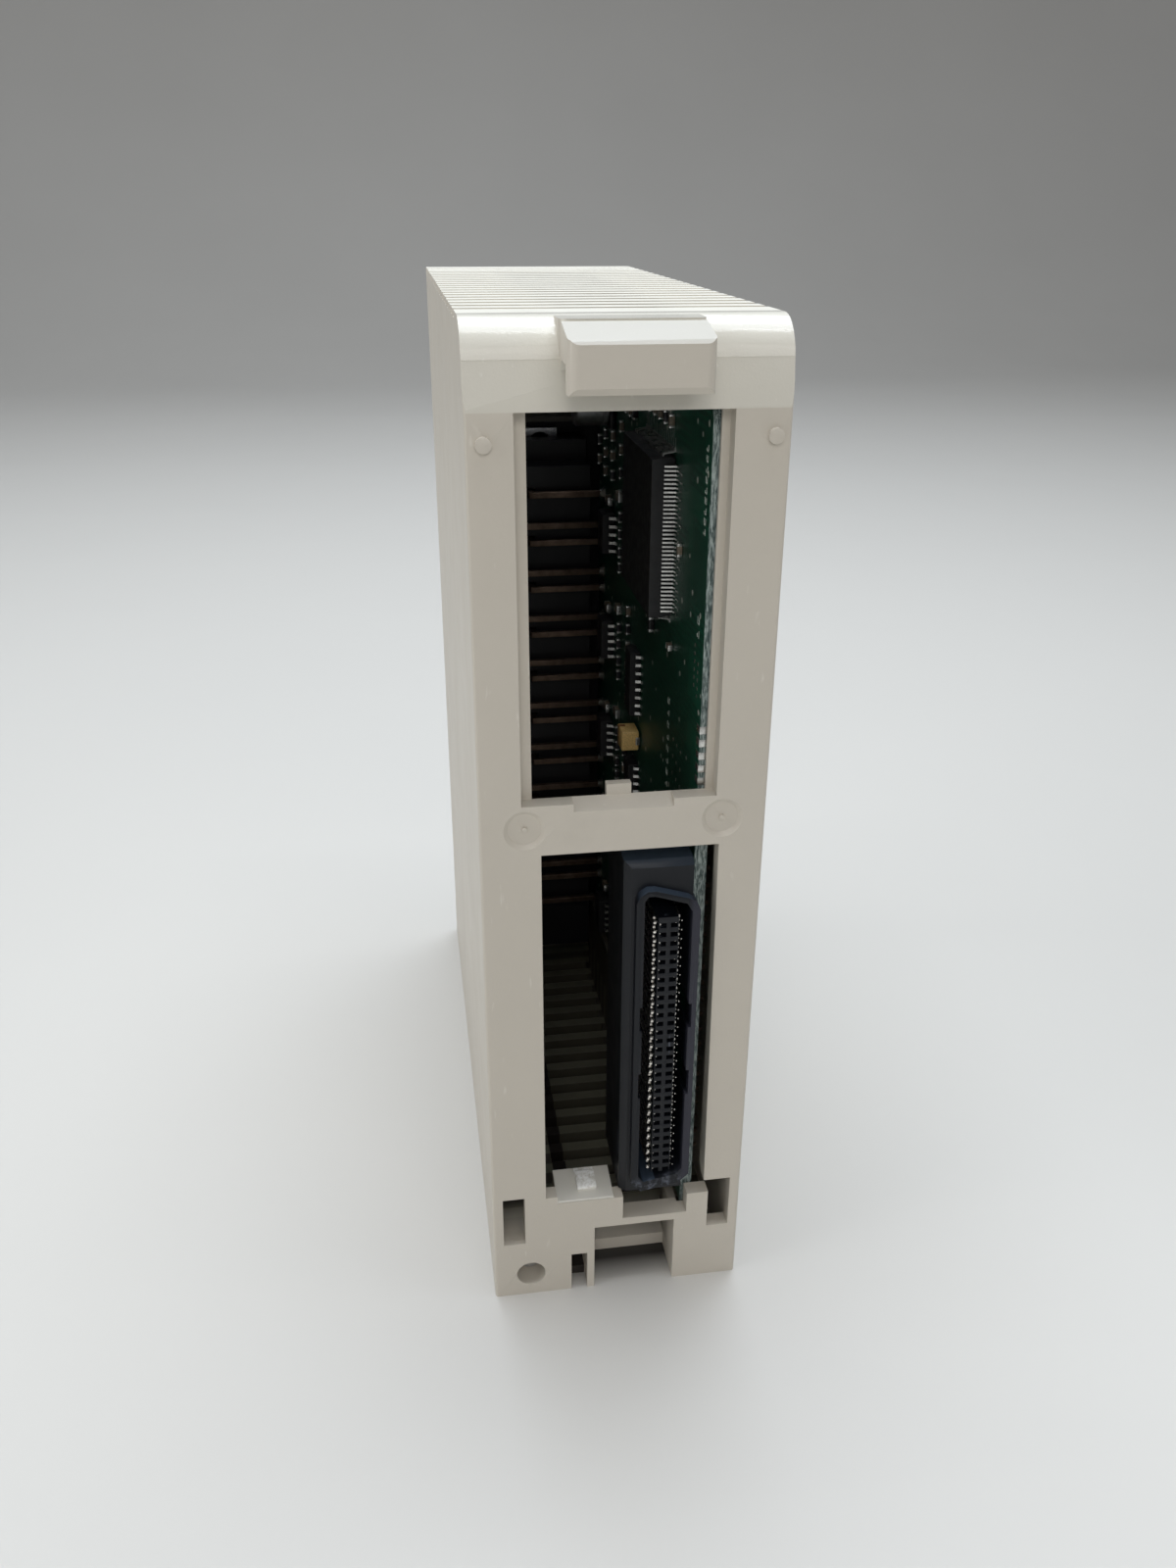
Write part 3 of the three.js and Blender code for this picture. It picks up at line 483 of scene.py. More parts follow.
BLACK_CERAMIC = resin("chip_film", rgb(28, 28, 30), 0.35)
SLOT_OF = {row["node"]: row["material_slot"] for row in frame["record"]["subparts"]}


# ------------------------------------------------------------------ mesh helpers
def shade(mesh, angle=32):
    """Smooth shading, with edges over the angle in degrees left sharp."""
    mesh.polygons.foreach_set("use_smooth", [True] * len(mesh.polygons))
    mesh.set_sharp_from_angle(angle=math.radians(angle))


def piece(name, mesh, body, slot, replaced=(), look=None):
    """Puts a finished mesh, in the row frame, on a body with its slot's material."""
    if isinstance(mesh, bmesh.types.BMesh):
        bmesh.ops.recalc_face_normals(mesh, faces=mesh.faces)
        mesh = mesh_of(mesh, name)
    shade(mesh)
    mesh.materials.clear()
    mesh.materials.append(look or LOOKS[slot])
    obj = bpy.data.objects.new(name, mesh)
    bpy.context.scene.collection.objects.link(obj)
    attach(obj, body)
    if replaced:
        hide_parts(*replaced)
    return obj


def round_edges(obj, width, segments=2, angle=38):
    """Rounds an object's hard edges by a bevel width in millimetres."""
    bevel = obj.modifiers.new("rounded_edges", "BEVEL")
    bevel.width = width * MM
    bevel.segments = segments
    bevel.limit_method = "ANGLE"
    bevel.angle_limit = math.radians(angle)
    bevel.use_clamp_overlap = True
    bevel.harden_normals = True
    bevel.miter_outer = "MITER_ARC"


def mesh_of(bm, name):
    """Turns a bmesh into a mesh, and frees it."""
    made = bpy.data.meshes.new(name)
    bm.to_mesh(made)
    bm.free()
    return made


def add_box(bm, x, y, z, bevel=0.0, segments=2):
    """A box between pairs of drawing-frame coordinates, with rounded edges."""
    part = bmesh.new()
    bmesh.ops.create_cube(part, size=1)
    for v in part.verts:
        v.co = at(*(pair[0] if c < 0 else pair[1] for pair, c in zip((x, y, z), v.co)))
    if bevel:
        bmesh.ops.bevel(
            part, geom=part.edges[:], offset=bevel * MM, segments=segments, affect="EDGES", profile=0.5)
    merge(bm, part)


def merge(bm, part):
    """Adds one bmesh to another, and frees it."""
    copy = {v: bm.verts.new(v.co) for v in part.verts}
    for face in part.faces:
        bm.faces.new([copy[v] for v in face.verts])
    part.free()


def add_prism(bm, outline, place, low, high, bevel=0.0):
    """Sweeps a closed outline of (a, b) pairs from low to high: place(a, b, c) gives drawing-frame points."""
    part = bmesh.new()
    rings = [[part.verts.new(at(*place(a, b, c))) for a, b in outline] for c in (low, high)]
    part.faces.new(rings[0][::-1])
    part.faces.new(rings[1])
    count = len(outline)
    for i in range(count):
        j = (i + 1) % count
        part.faces.new((rings[0][i], rings[0][j], rings[1][j], rings[1][i]))
    bmesh.ops.recalc_face_normals(part, faces=part.faces)
    if bevel:
        bmesh.ops.bevel(part, geom=part.edges[:], offset=bevel * MM, segments=1, affect="EDGES", profile=0.5)
    merge(bm, part)


def add_lathe(bm, profile, place, sides=28):
    """Turns a profile of (radius, height) pairs that starts and ends on the axis: place(u, v, height)."""
    part = bmesh.new()
    rings = []
    for radius, height in profile:
        if radius == 0:
            rings.append([part.verts.new(at(*place(0, 0, height)))])
        else:
            rings.append([part.verts.new(at(*place(
                radius * math.cos(2 * math.pi * k / sides),
                radius * math.sin(2 * math.pi * k / sides), height))) for k in range(sides)])
    for lower, upper in zip(rings, rings[1:]):
        for k in range(sides):
            n = (k + 1) % sides
            corners = [lower[k % len(lower)], lower[n % len(lower)],
                       upper[n % len(upper)], upper[k % len(upper)]]
            part.faces.new(list(dict.fromkeys(corners)))
    bmesh.ops.recalc_face_normals(part, faces=part.faces)
    merge(bm, part)


def carved(mesh, cutter):
    """What is left of a mesh when the cutter's solids, which may cross each other, are taken away."""
    bmesh.ops.recalc_face_normals(cutter, faces=cutter.faces)
    blank = bpy.data.objects.new("blank", mesh)
    knife = bpy.data.objects.new("knife", mesh_of(cutter, "cutter"))
    for obj in (blank, knife):
        bpy.context.scene.collection.objects.link(obj)
    cut = blank.modifiers.new("cut", "BOOLEAN")
    cut.operation = "DIFFERENCE"
    cut.solver = "EXACT"
    cut.use_self = True
    cut.object = knife
    graph = bpy.context.evaluated_depsgraph_get()
    result = bpy.data.meshes.new_from_object(blank.evaluated_get(graph))
    for obj in (blank, knife):
        bpy.data.objects.remove(obj)
    return result


# ------------------------------------------------------------------ CAD nodes that keep their shape
BEVELS = {
    "case": 0.22, "front_bezel": 0.25, "terminal_cover": 0.25, "terminal_block": 0.15,
    "terminal_header": 0.15, "indicator_window": 0.3, "main_board": 0.06, "indicator_board": 0.06,
    "light_shield": 0.1, "cover_label": 0.03,
}


def finish_cad_nodes():
    """Materials and soft edges: the vertices are joined first, so that a bevel follows whole edges."""
    for name, obj in nodes.items():
        obj.data.materials.clear()
        obj.data.materials.append(LOOKS[SLOT_OF[name]])
        shade(obj.data)
        if name in BEVELS:
            weld = obj.modifiers.new("joined_corners", "WELD")
            weld.merge_threshold = 0.002 * MM
            round_edges(obj, BEVELS[name])
            even = obj.modifiers.new("even_shading", "WEIGHTED_NORMAL")
            even.weight = 100


# ------------------------------------------------------------------ bus connector
BUS_ROWS = 30
BUS_LEGS = 20
TONGUE = (21.7, 24.25)
TONGUE_MIDDLE = sum(TONGUE) / 2
TONGUE_Y = -0.4
SOCKET_WALL = 0.12
SOCKET_SPINE = 0.27
SOCKET_DROP = 0.4
SOCKET_HALF = 0.34
SOCKETS = (
    (TONGUE[0] + SOCKET_WALL, TONGUE_MIDDLE - SOCKET_SPINE),
    (TONGUE_MIDDLE + SOCKET_SPINE, TONGUE[1] - SOCKET_WALL),
)


def bus_levels():
    low, high = drawn("bus_contacts_left")
    pitch = (high.z - low.z) / BUS_ROWS
    return [low.z + (i + 0.5) * pitch for i in range(BUS_ROWS)]


def bus_shell(levels):
    """The shroud, with two ladders of sockets cut in its tongue."""
    cutter = bmesh.new()
    for z in levels:
        for across in SOCKETS:
            upright = (z - SOCKET_DROP - SOCKET_HALF, z - SOCKET_DROP + SOCKET_HALF)
            add_box(cutter, across, (TONGUE_Y - 1, TONGUE_Y + 1.8), upright)
    mesh = carved(nodes["bus_connector_housing"].data.copy(), cutter)
    housing = piece("bus_connector_shell", mesh, "module", "navy_plastic", ["bus_connector_housing"])
    round_edges(housing, 0.1, 2)


def bus_springs(levels, side, out, radius):
    """One row of contacts: a bright bead on a thin stalk in front of a spring that runs into the shroud."""
    low, high = drawn(f"bus_contacts_{side}")
    near, back = (low.x, high.x) if out < 0 else (high.x, low.x)
    tip = TONGUE_Y + 0.35
    slant = radius * 0.7
    bead = [(0, -radius), (slant, -slant), (radius, 0), (slant, slant), (0, radius)]
    bm = bmesh.new()
    for z in levels:
        add_box(bm, sorted((back, back + out * 0.12)), (tip + 0.12, tip + 1.1), (z - 0.05, z + 0.05), 0.02)
        add_box(bm, sorted((near, back)), (tip + 1.0, 8.0), (z - 0.2, z + 0.2), 0.04)
        add_lathe(bm, bead, lambda u, v, h, z=z: (near + u, tip + h, z + v), 14)
    piece(f"bus_contact_springs_{side}", bm, "module", "gold_contact", [f"bus_contacts_{side}"])


def bus_socket_contacts(levels):
    """A glint of metal in every socket, larger in every second one."""
    bm = bmesh.new()
    for row, level in enumerate(levels):
        size = 0.16 if row % 2 else 0.1
        bead = [(0, -size), (size, 0), (0, size * 2)]
        for x, lift in ((SOCKETS[0][0] + 0.16, -0.08), (SOCKETS[1][1] - 0.16, 0.12)):
            z = level - SOCKET_DROP + lift
            add_lathe(bm, bead, lambda u, v, h, x=x, z=z: (x + u, TONGUE_Y + 0.45 + h, z + v), 10)
    piece("bus_socket_contacts", bm, "module", "gold_contact")


def bus_legs():
    """Two columns of legs from the connector to the board, their guide, and the soldered tails."""
    low, high = drawn("bus_connector_legs")
    board_low, board_high = drawn("main_board")
    guide = bmesh.new()
    add_box(guide, (low.x, low.x + 1.6), (low.y, high.y), (low.z, high.z), 0.15)
    piece("bus_leg_guide", guide, "module", "navy_plastic", ["bus_connector_legs"])
    legs = bmesh.new()
    tails = bmesh.new()
    for i in range(BUS_LEGS):
        z = low.z + 1.2 + i * (high.z - low.z - 2.4) / (BUS_LEGS - 1)
        for y in (low.y + 0.9, low.y + 2.9):
            add_box(legs, (low.x + 1.5, board_low.x), (y - 0.25, y + 0.25), (z - 0.25, z + 0.25), 0.05)
        for y in (board_low.y + 2.2, board_low.y + 4.7):
            add_lathe(tails, [(0, -0.05), (0.75, 0.0), (0.42, 0.35), (0.3, 0.95), (0.0, 1.05)],
                      lambda u, v, h, y=y, z=z: (board_high.x + h, y + u, z + v), 12)
    piece("bus_legs", legs, "module", "tinned_metal")
    piece("bus_solder_tails", tails, "module", "pin_metal")


def bus_connector():
    levels = bus_levels()
    bus_shell(levels)
    bus_springs(levels, "left", -1, 0.27)
    bus_springs(levels, "right", 1, 0.11)
    bus_socket_contacts(levels)
    bus_legs()


# ------------------------------------------------------------------ chips and small parts on the board
LEG_THICK = 0.14


def gull_outline(shoulder, reach):
    """A leg's side view: out from the package at shoulder height, down, and along the board."""
    t = LEG_THICK
    bend = reach * 0.38
    foot = reach * 0.6
    return [
        (-0.1, shoulder), (bend, shoulder), (foot, t), (reach, t), (reach, 0.0), (foot - t * 0.7, 0.0),
        (bend - t * 0.7, shoulder - t), (-0.1, shoulder - t)]


def chip(node, reach, pitch, leg_width, count, four_sided=False):
    """A package with tapered sides, a dot in one corner, and legs on two or four sides."""
    low, high = drawn(node)
    board = drawn("main_board")[0].x
    top = low.x
    y0, y1 = low.y + reach, high.y - reach
    z0, z1 = (low.z + reach, high.z - reach) if four_sided else (low.z, high.z)
    stand = 0.12
    middle = (board - stand - top) / 2
    slope = 0.12

    bm = bmesh.new()
    levels = ((board - stand, slope), (board - stand - middle, 0.0), (top, slope))
    rings = [[bm.verts.new(at(x, y, z)) for y, z in (
        (y0 + i, z0 + i), (y1 - i, z0 + i), (y1 - i, z1 - i), (y0 + i, z1 - i))] for x, i in levels]
    bm.faces.new(rings[0])
    bm.faces.new(rings[2][::-1])
    for a, b in zip(rings, rings[1:]):
        for k in range(4):
            n = (k + 1) % 4
            bm.faces.new((a[k], a[n], b[n], b[k]))
    package = piece(f"{node}_package", bm, "module", "chip_resin", [node])
    round_edges(package, 0.06, 2, 20)

    dot = bmesh.new()
    size = 0.8 if four_sided else 0.35
    add_lathe(dot, [(0, 0.0), (size * 0.8, 0.0), (size, -0.012), (0, -0.012)],
              lambda u, v, h: (top + h, y0 + 1.6 * size + u, z1 - 1.6 * size + v), 20)
    piece(f"{node}_corner_dot", dot, "module", "chip_resin")

    outline = gull_outline(middle + stand, reach)
    legs = bmesh.new()
    first = (z0 + z1) / 2 - (count - 1) * pitch / 2
    for i in range(count):
        z = first + i * pitch
        for edge, out in ((y0, -1), (y1, 1)):
            add_prism(legs, outline, lambda a, b, c, e=edge, o=out: (board - b, e + o * a, c),
                      z - leg_width / 2, z + leg_width / 2)
        if four_sided:
            y = z - (z0 + z1) / 2 + (y0 + y1) / 2
            for edge, out in ((z0, -1), (z1, 1)):
                add_prism(legs, outline, lambda a, b, c, e=edge, o=out: (board - b, c, e + o * a),
                          y - leg_width / 2, y + leg_width / 2)
    piece(f"{node}_legs", legs, "module", "tinned_metal")


def tantalum(node):
    """A moulded block with a stripe at one end and a folded tab at both."""
    low, high = drawn(node)
    bm = bmesh.new()
    add_box(bm, (low.x, high.x), (low.y, high.y), (low.z, high.z), 0.2, 3)
    piece(f"{node}_body", bm, "module", "tantalum_resin", [node])
    bm = bmesh.new()
    add_box(bm, (low.x - 0.02, low.x + 1), (high.y - 1.3, high.y - 0.5), (low.z - 0.02, high.z + 0.02), 0.05)
    piece(f"{node}_stripe", bm, "module", "tantalum_resin", look=STRIPE)
    bm = bmesh.new()
    for y0, y1 in ((low.y - 0.2, low.y + 0.1), (high.y - 0.1, high.y + 0.2)):
        add_box(bm, (low.x + 2.1, high.x + 0.2), (y0, y1), (low.z + 0.9, high.z - 0.9), 0.08)
    piece(f"{node}_tabs", bm, "module", "tinned_metal")


def chip_components():
    """Rows of small resistors and capacitors between the chips, with tinned ends."""
    board = drawn("main_board")[0].x
    ends, pale, dark = bmesh.new(), bmesh.new(), bmesh.new()

    def small_part(body, y, z, length=1.7, width=0.85, tall=0.78, upright=True):
        half, end = length / 2, length * 0.2

        def place(along0, along1, across, low, high, target, bevel):
            pair, other = (along0, along1), (-across, across)
            ys, zs = (other, pair) if upright else (pair, other)
            add_box(target, (board - high, board - low),
                    (y + ys[0], y + ys[1]), (z + zs[0], z + zs[1]), bevel)

        place(-half + 0.1, half - 0.1, width / 2 - 0.02, 0.06, tall - 0.04, body, 0.05)
        place(-half, -half + end, width / 2, 0.02, tall, ends, 0.08)
        place(half - end, half, width / 2, 0.02, tall, ends, 0.08)

    rows = [
        (46.0, 113.6, 7, 3.0, 0.0), (46.0, 117.4, 6, 3.0, 0.0), (22.0, 116.4, 7, 3.2, 0.0),
        (46.6, 94.0, 6, 0.0, 2.7), (50.6, 94.0, 6, 0.0, 2.7), (48.6, 70.4, 6, 0.0, 2.8),
        (50.0, 52.0, 4, 0.0, 3.0), (50.0, 33.0, 5, 0.0, 2.8), (34.0, 24.0, 8, 0.0, 3.2),
        (58.2, 40.0, 4, 0.0, 3.2), (28.6, 52.0, 3, 0.0, 3.0), (56.6, 100.0, 4, 0.0, 3.4),
        (64.0, 101.6, 3, 0.0, 3.0), (70.8, 101.0, 4, 0.0, 2.9), (76.8, 101.8, 3, 0.0, 3.1),
    ]
    for row, (y, z, count, step_y, step_z) in enumerate(rows):
        for i in range(count):
            small_part(pale if (row + i) % 3 else dark, y + i * step_y, z + i * step_z)
    small_part(pale, 19.5, 88.6, 1.6, 0.8, 0.7, upright=False)
    small_part(dark, 31.4, 87.9, 2.2, 1.2, 0.8)
    small_part(pale, 15.6, 102.2, 1.6, 0.8, 0.7)
    for number in range(1, 6):
        low, high = drawn(f"coupler_chip_{number}")
        small_part(pale, 66.6, high.z + 1.3, 2.6, 1.4, 0.9, upright=False)
        small_part(pale, 57.0, high.z + 4.0, 2.6, 1.4, 0.9, upright=False)
        for step in (-3.6, -1.2, 1.6, 4.2):
            small_part(dark, 56.4, (low.z + high.z) / 2 + step)
    piece("component_ends", ends, "module", "tinned_metal")
    piece("component_bodies_pale", pale, "module", "chip_resin", look=CERAMIC)
    piece("component_bodies_dark", dark, "module", "chip_resin", look=BLACK_CERAMIC)


def printed_strokes(bm, board, y, z, count, step, tall=0.75, wide=0.75):
    """A column of short plain strokes, alternately whole and hollow, that spell nothing."""
    for i in range(count):
        base = z + i * step
        add_box(bm, (board - 0.03, board), (y, y + 0.14), (base, base + tall))
        shorter = tall if i % 2 else tall / 2
        add_box(bm, (board - 0.03, board), (y + wide - 0.14, y + wide), (base, base + shorter))
        if i % 3:
            add_box(bm, (board - 0.03, board), (y + 0.1, y + wide - 0.1), (base, base + 0.14))


def board_marks():
    """Plain printed strokes, vias, fan-out traces round the big chip, and tinned pads by the rear edge."""
    low, high = drawn("main_board")
    board = low.x
    marks = bmesh.new()
    printed_strokes(marks, board, 4.5, 106.6, 9, 1.15)
    printed_strokes(marks, board, 5.4, 94.3, 2, 1.6, 0.9, 0.9)
    printed_strokes(marks, board, 19.8, 68.6, 8, 1.7, 0.8, 0.9)
    printed_strokes(marks, board, 27.0, 58.0, 5, 1.5)
    piece("board_printed_marks", marks, "module", "board_laminate", look=PRINTED_WHITE)

    pads = bmesh.new()
    for i in range(5):
        z = 76.7 + i * 1.65
        add_box(pads, (board - 0.06, high.x + 0.06), (low.y - 0.06, low.y + 1.4), (z, z + 0.95), 0.03)
    vias = [(7.0, 93.0 - i) for i in range(6)] + [(5.3, 91.2 - i) for i in range(5)]
    vias += [(12.5 + (i % 3) * 2.2, 72 + (i // 3) * 2.4) for i in range(9)]
    for y, z in vias:
        add_lathe(pads, [(0, -0.05), (0.2, -0.05), (0.28, 0), (0, 0)],
                  lambda u, v, h, y=y, z=z: (board + h, y + u, z + v), 12)
    chip_low, chip_high = drawn("main_chip")
    for i in range(0, 36, 2):
        z = chip_low.z + 1.95 + i * 0.517
        reach = 1.2 + 1.5 * ((i * 7) % 5) / 5
        add_box(pads, (board - 0.02, board), (chip_low.y - reach, chip_low.y), (z - 0.07, z + 0.07))
        add_lathe(pads, [(0, -0.04), (0.16, -0.04), (0.2, 0), (0, 0)],
                  lambda u, v, h, y=chip_low.y - reach, z=z: (board + h, y + u, z + v), 10)
        y = chip_low.y + 1.95 + i * 0.517
        add_box(pads, (board - 0.02, board), (y - 0.07, y + 0.07), (chip_high.z, chip_high.z + reach))
    piece("board_test_pads", pads, "module", "tinned_metal")


def can_capacitor():
    """A rolled aluminium can on a square black base."""
    low, high = drawn("can_capacitor")
    y, z = (low.y + high.y) / 2, (low.z + high.z) / 2
    bm = bmesh.new()
    profile = [
        (0, 0.06), (2.3, 0.06), (2.55, 0), (2.9, 0.08), (3.1, 0.35), (3.1, 4.2), (2.9, 4.4), (3.1, 4.65),
        (3.1, 5.1), (0, 5.1)]
    add_lathe(bm, profile, lambda u, v, h: (low.x + h, y + u, z + v), 36)
    piece("can_capacitor_can", bm, "module", "aluminium_can", ["can_capacitor"])
    bm = bmesh.new()
    add_box(bm, (high.x - 0.8, high.x), (low.y, high.y), (low.z, high.z), 0.25)
    piece("can_capacitor_base", bm, "module", "black_plastic")


# ------------------------------------------------------------------ terminal pins
ROWS = 10


def levels_of(node, size):
    low, high = drawn(node)
    step = (high.z - low.z - size) / (ROWS - 1)
    return [low.z + size / 2 + i * step for i in range(ROWS)]


def terminal_pins():
    """Two columns of flat bars, turned forwards to a point, soldered on both sides of the board."""
    board_low, board_high = drawn("main_board")
    size = 1.0
    joints = bmesh.new()
    for side in ("left", "middle"):
        node = f"terminal_pins_{side}"
        low, high = drawn(node)
        x = low.x + size / 2
        y = low.y
        bm = bmesh.new()
        for z in levels_of(node, size):
            outline = [
                (low.x, y + 0.25), (low.x + 0.25, y), (high.x - 0.3, y), (high.x, y + 0.3), (high.x, y + 0.7),
                (high.x - 0.3, y + size), (low.x + size, y + size), (low.x + size, high.y - 0.9),
                (x + 0.2, high.y), (x - 0.2, high.y), (low.x, high.y - 0.9)]
            add_prism(bm, outline, lambda a, b, c: (a, b, c), z - size / 2, z + size / 2, 0.08)
            for face, out in ((board_low.x, -1), (board_high.x, 1)):
                add_lathe(joints, [(0, -0.05), (1.15, 0), (0.85, 0.3), (0.62, 0.8), (0, 0.85)],
                          lambda u, v, h, f=face, o=out, z=z: (f + o * h, y + size / 2 + u, z + v), 16)
        piece(f"{node}_row", bm, "module", "pin_metal", [node])
    piece("terminal_pin_solder", joints, "module", "tinned_metal")


# ------------------------------------------------------------------ screws
def phillips(bm, x, z, top, radius, depth):
    """Cutter for a cross recess that narrows towards its bottom, in a head facing +y."""
    for across in (0, 1):
        wide, slim, end = radius * 0.62, 0.14 * radius, radius * 0.22
        outline = [(-wide, top + 0.1), (-end, top - depth), (end, top - depth), (wide, top + 0.1)]
        if across:
            add_prism(bm, outline, lambda a, b, c: (x + a, b, z + c), -slim, slim)
        else:
            add_prism(bm, outline, lambda a, b, c: (x + c, b, z + a), -slim, slim)


def screw_mesh(x, z, head_y, top_y, head_radius, tip_y, shank_radius, pitch):
    """A round-headed screw along y with a cross recess and a threaded shank."""
    bm = bmesh.new()
    tall = top_y - head_y
    profile = [(0, tip_y), (shank_radius * 0.75, tip_y)]
    y = tip_y + pitch * 0.5
    while y < head_y - pitch:
        profile += [(shank_radius * 0.84, y), (shank_radius, y + pitch * 0.5)]
        y += pitch
    profile += [(shank_radius * 0.84, head_y - pitch * 0.3), (shank_radius * 0.84, head_y),
                (head_radius * 0.97, head_y), (head_radius, head_y + tall * 0.12),
                (head_radius, head_y + tall * 0.45)]
    for k in range(1, 6):
        turn = math.radians(90 * k / 6)
        across, along = 0.55 + 0.45 * math.cos(turn), 0.45 + 0.55 * math.sin(turn)
        profile.append((head_radius * across, head_y + tall * along))
    profile.append((0, top_y))
    add_lathe(bm, profile, lambda u, v, h: (x + u, h, z + v), 32)
    cutter = bmesh.new()
    phillips(cutter, x, z, top_y, head_radius, tall * 0.75)
    return carved(mesh_of(bm, "screw"), cutter)


def long_screw(node, body, shank_radius, head_tall, pitch):
    low, high = drawn(node)
    x, z = (low.x + high.x) / 2, (low.z + high.z) / 2
    mesh = screw_mesh(x, z, high.y - head_tall, high.y, (high.x - low.x) / 2, low.y, shank_radius, pitch)
    piece(f"{node}_threaded", mesh, body, "plated_steel", [node])


def terminal_screws():
    """Twenty screws with square pressure plates: one mesh, moved to each place."""
    low, high = drawn("terminal_screw_01")
    x, z = (low.x + high.x) / 2, (low.z + high.z) / 2
    top = high.y
    screw = screw_mesh(x, z, top - 1.8, top, 2.6, low.y, 1.45, 0.5)
    plate = bmesh.new()
    add_box(plate, (low.x, high.x), (top - 2.7, top - 1.85), (low.z, high.z), 0.18, 2)
    plate_mesh = mesh_of(plate, "plate")
    first = at(x, 0, z)
    for number in range(1, 2 * ROWS + 1):
        node = f"terminal_screw_{number:02d}"
        node_low, node_high = drawn(node)
        shift = at((node_low.x + node_high.x) / 2, 0, (node_low.z + node_high.z) / 2) - first
        turn = Matrix.Rotation(number * 0.7, 4, "Y")
        head = screw.copy()
        head.transform(Matrix.Translation(first + shift) @ turn @ Matrix.Translation(-first))
        piece(f"{node}_head", head, "block", "plated_steel", [node])
        flat = plate_mesh.copy()
        flat.transform(Matrix.Translation(shift))
        piece(f"{node}_plate", flat, "block", "tinned_metal")


def terminal_plates():
    """The flat plates under the terminal screws, ten in each row."""
    for side in ("left", "right"):
        node = f"terminal_plates_{side}"
        low, high = drawn(node)
        length = 5.8
        step = (high.z - low.z - length) / (ROWS - 1)
        bm = bmesh.new()
        for i in range(ROWS):
            z = low.z + i * step
            add_box(bm, (high.x - 9.4, high.x), (high.y - 0.45, high.y), (z, z + length), 0.1)
        piece(f"{node}_row", bm, "block", "tinned_metal", [node])


def washer():
    """The nylon ring that holds the mounting screw captive."""
    low, high = drawn("mounting_screw_washer")
    x, z = (low.x + high.x) / 2, (low.z + high.z) / 2
    outer, inner = (high.x - low.x) / 2, 1.9
    y0, y1 = low.y, high.y
    bm = bmesh.new()
    sides = 40
    loop = [(inner, y0 + 0.1), (inner + 0.1, y0), (outer - 0.15, y0), (outer, y0 + 0.15), (outer, y1 - 0.15),
            (outer - 0.15, y1), (inner + 0.1, y1), (inner, y1 - 0.1)]
    turns = [2 * math.pi * k / sides for k in range(sides)]
    rings = [[bm.verts.new(at(x + r * math.cos(turn), y, z + r * math.sin(turn))) for turn in turns]
             for r, y in loop]
    for a, b in zip(rings, rings[1:] + rings[:1]):
        for k in range(sides):
            n = (k + 1) % sides
            bm.faces.new((a[k], a[n], b[n], b[k]))
    piece("mounting_screw_washer_ring", bm, "screw_carrier", "nylon", ["mounting_screw_washer"])


# ------------------------------------------------------------------ indicators
def indicators():
    """The lamps behind the window, and the printed frame round each place on it."""
    high = drawn("indicator_lamps")[1]
    columns, rows = 4, 5
    bm = bmesh.new()
    frames = bmesh.new()
    window_high = drawn("indicator_window")[1]
    for column in range(columns):
        for row in range(rows):
            x = 8.0 + column * 6.2
            z = 111.8 + row * 2.95
            add_box(bm, (x - 1, x + 1), (high.y - 1.1, high.y), (z - 0.6, z + 0.6), 0.2, 3)
            y = window_high.y
            add_box(frames, (x - 1.5, x + 1.5), (y, y + 0.03), (z + 0.95, z + 1.07))
            add_box(frames, (x - 1.5, x + 1.5), (y, y + 0.03), (z - 1.07, z - 0.95))
            add_box(frames, (x + 1.9, x + 2.2), (y, y + 0.03), (z - 0.3, z + 0.3))
    piece("lamp_lenses", bm, "module", "lamp_resin", ["indicator_lamps"])
    piece("window_printed_frames", frames, "module", "smoked_window", look=PRINTED_WHITE)


def indicator_link():
    """Eight bent pins in a black strip, between the main board and the lamp board."""
    low, high = drawn("indicator_link")
    bm = bmesh.new()
    add_box(bm, (low.x, low.x + 1.8), (80.4, 82.4), (low.z, high.z), 0.15)
    piece("indicator_link_insulator", bm, "module", "black_plastic", ["indicator_link"])
    bm = bmesh.new()
    for i in range(8):
        z = low.z + 0.7 + i * 1.7
        outline = [
            (low.x + 0.6, 77.1), (low.x + 0.9, 76.8), (26.35, 76.8), (26.35, 77.4), (low.x + 1.2, 77.4),
            (low.x + 1.2, high.y), (low.x + 0.6, high.y)]
        add_prism(bm, outline, lambda a, b, c: (a, b, c), z, z + 0.6, 0.06)
    piece("indicator_link_pins", bm, "module", "gold_contact")


# ------------------------------------------------------------------ stage
FLOOR_NEAR = -1.6
FLOOR_FAR = 0.9
FLOOR_WIDTH = 4.4
SWEEP_RADIUS = 0.5
WALL_TOP = 1.8
SWEEP_STEPS = 12


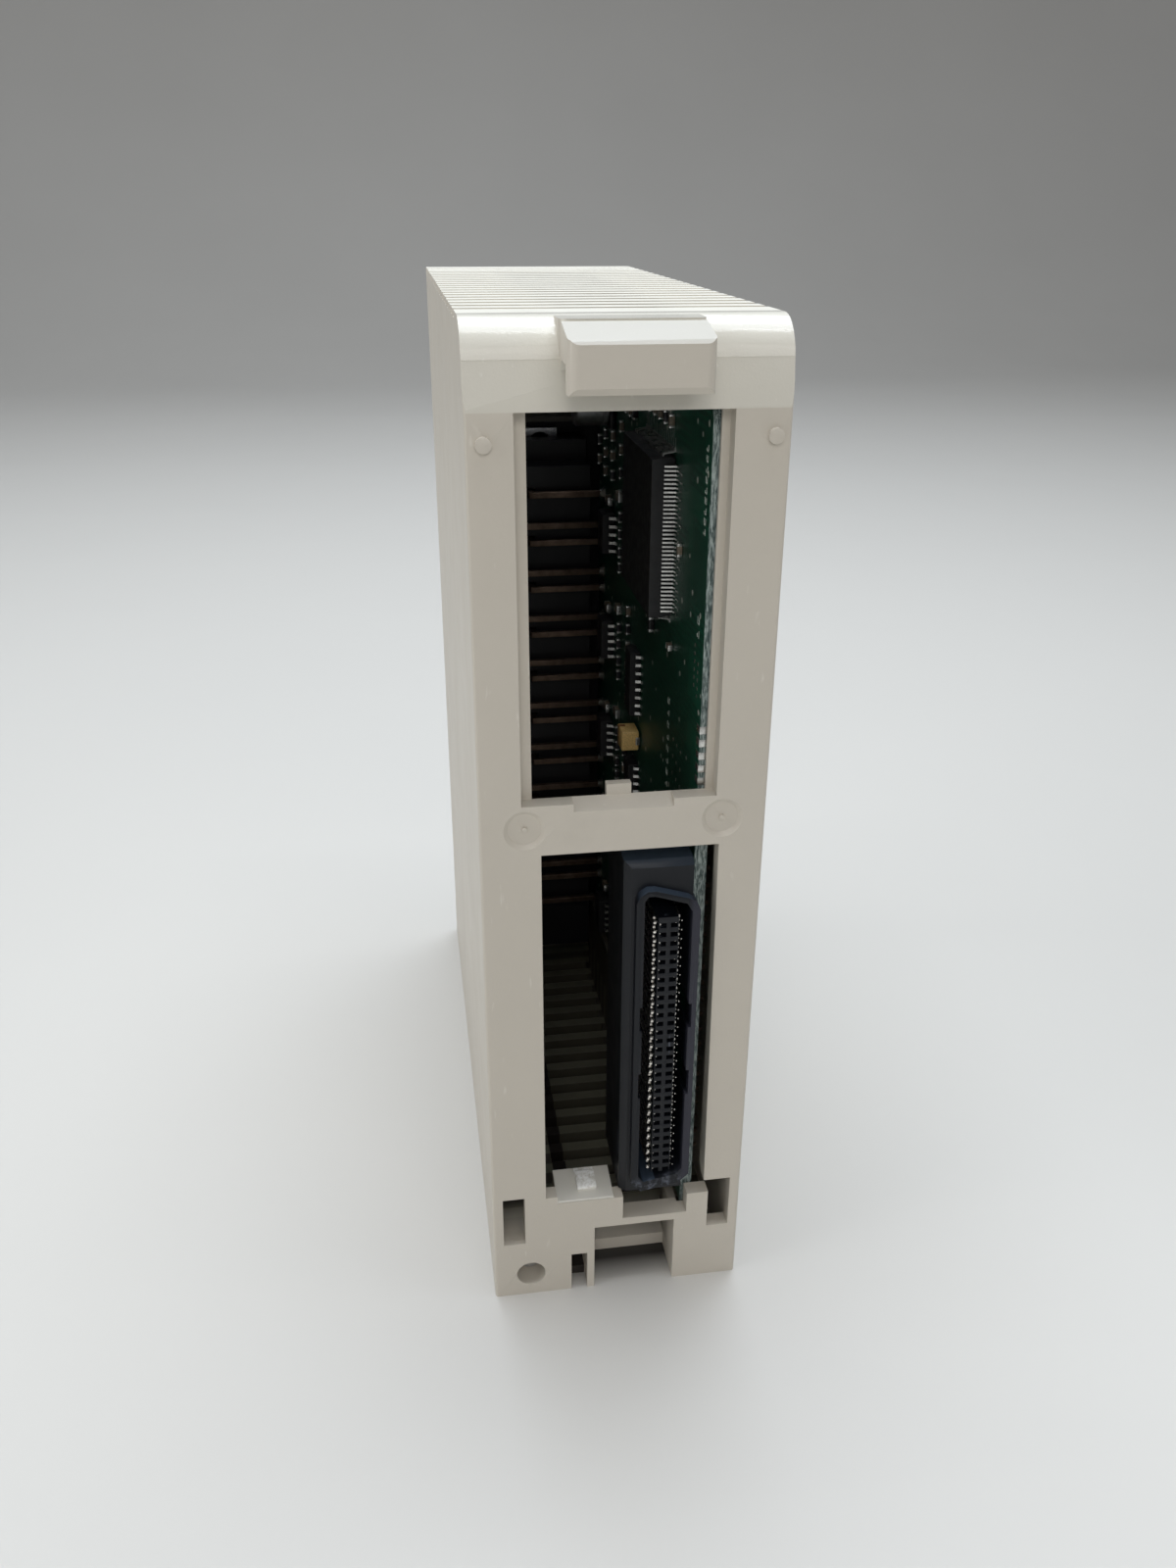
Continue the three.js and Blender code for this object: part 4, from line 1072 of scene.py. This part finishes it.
def make_floor():
    """A plain pale sweep: a floor that curves up into a wall, with the shade under the case painted on."""
    bm = bmesh.new()
    profile = [(FLOOR_NEAR, 0.0), (FLOOR_FAR, 0.0)]
    for k in range(1, SWEEP_STEPS + 1):
        turn = math.radians(90 * k / SWEEP_STEPS)
        profile.append((FLOOR_FAR + SWEEP_RADIUS * math.sin(turn), SWEEP_RADIUS * (1 - math.cos(turn))))
    profile.append((FLOOR_FAR + SWEEP_RADIUS, WALL_TOP))
    rings = [[bm.verts.new((x, y, z)) for x in (-FLOOR_WIDTH / 2, FLOOR_WIDTH / 2)] for y, z in profile]
    for a, b in zip(rings, rings[1:]):
        bm.faces.new((a[0], a[1], b[1], b[0]))
    mesh = mesh_of(bm, "floor")
    shade(mesh, 60)
    s = Shader("floor_paint")
    cloud = s.noise(6, 4)
    paint = s.mix(cloud, rgb(207, 205, 200), rgb(199, 197, 192))
    x, y, z = s.drawing()
    under = s.both(s.ramp(s.off(x, MIDDLE_X), 16.5, 14.5), s.ramp(s.off(y, 49.0), 48, 44))
    s.set("Base Color", s.mix(under, paint, rgb(46, 44, 42)))
    s.set("Roughness", s.ramp(cloud, 0.3, 0.7, 0.42, 0.5))
    mesh.materials.append(s.material)
    floor = bpy.data.objects.new("floor", mesh)
    bpy.context.scene.collection.objects.link(floor)


# Name, place, target and size in metres, power in watts, colour.
LIGHTS = (
    ("overhead", (0.05, 0.2, 0.75), (0, 0, 0.06), (0.7, 0.7), 6.3, (0.85, 0.92, 1.0)),
    ("strip_front", (0.0, -0.12, 0.7), (0, 0, 0.1), (0.8, 0.02), 0.4, (1, 1, 1)),
    ("strip_back", (0.0, 0.12, 0.7), (0, 0, 0.1), (0.8, 0.02), 0.4, (1, 1, 1)),
    ("left_key", (-0.8, -0.1, 0.5), (0, 0, 0.07), (0.6, 0.6), 2.15, (0.97, 0.98, 1.0)),
    ("rear_fill", (0.1, -0.9, 0.6), (0, 0, 0.06), (0.7, 0.4), 1.7, (1.0, 0.975, 0.96)),
    ("bench_lamp", (-0.1, -0.45, 0.42), (0, 0, 0.07), (0.14, 0.14), 0.3, (1.0, 0.98, 0.95)),
)


# ------------------------------------------------------------------ build
make_camera()
make_world(0.3)
bpy.context.scene.view_settings.view_transform = "Standard"
for light in LIGHTS:
    make_area_light(*light)
make_floor()

finish_cad_nodes()
bus_connector()
chip("main_chip", 1.0, 0.517, 0.22, 36, four_sided=True)
for number in range(1, 5):
    chip(f"logic_chip_{number}", 1.0, 1.25, 0.42, 8)
for number in range(1, 6):
    chip(f"coupler_chip_{number}", 1.2, 1.29, 0.45, 5)
for number in (1, 2):
    tantalum(f"tantalum_capacitor_{number}")
can_capacitor()
chip_components()
board_marks()
terminal_pins()
long_screw("block_screw_upper", "upper_screw", 1.65, 2.3, 0.6)
long_screw("block_screw_lower", "lower_screw", 1.65, 2.3, 0.6)
long_screw("mounting_screw", "screw", 1.8, 2.6, 0.7)
terminal_screws()
terminal_plates()
washer()
indicators()
indicator_link()
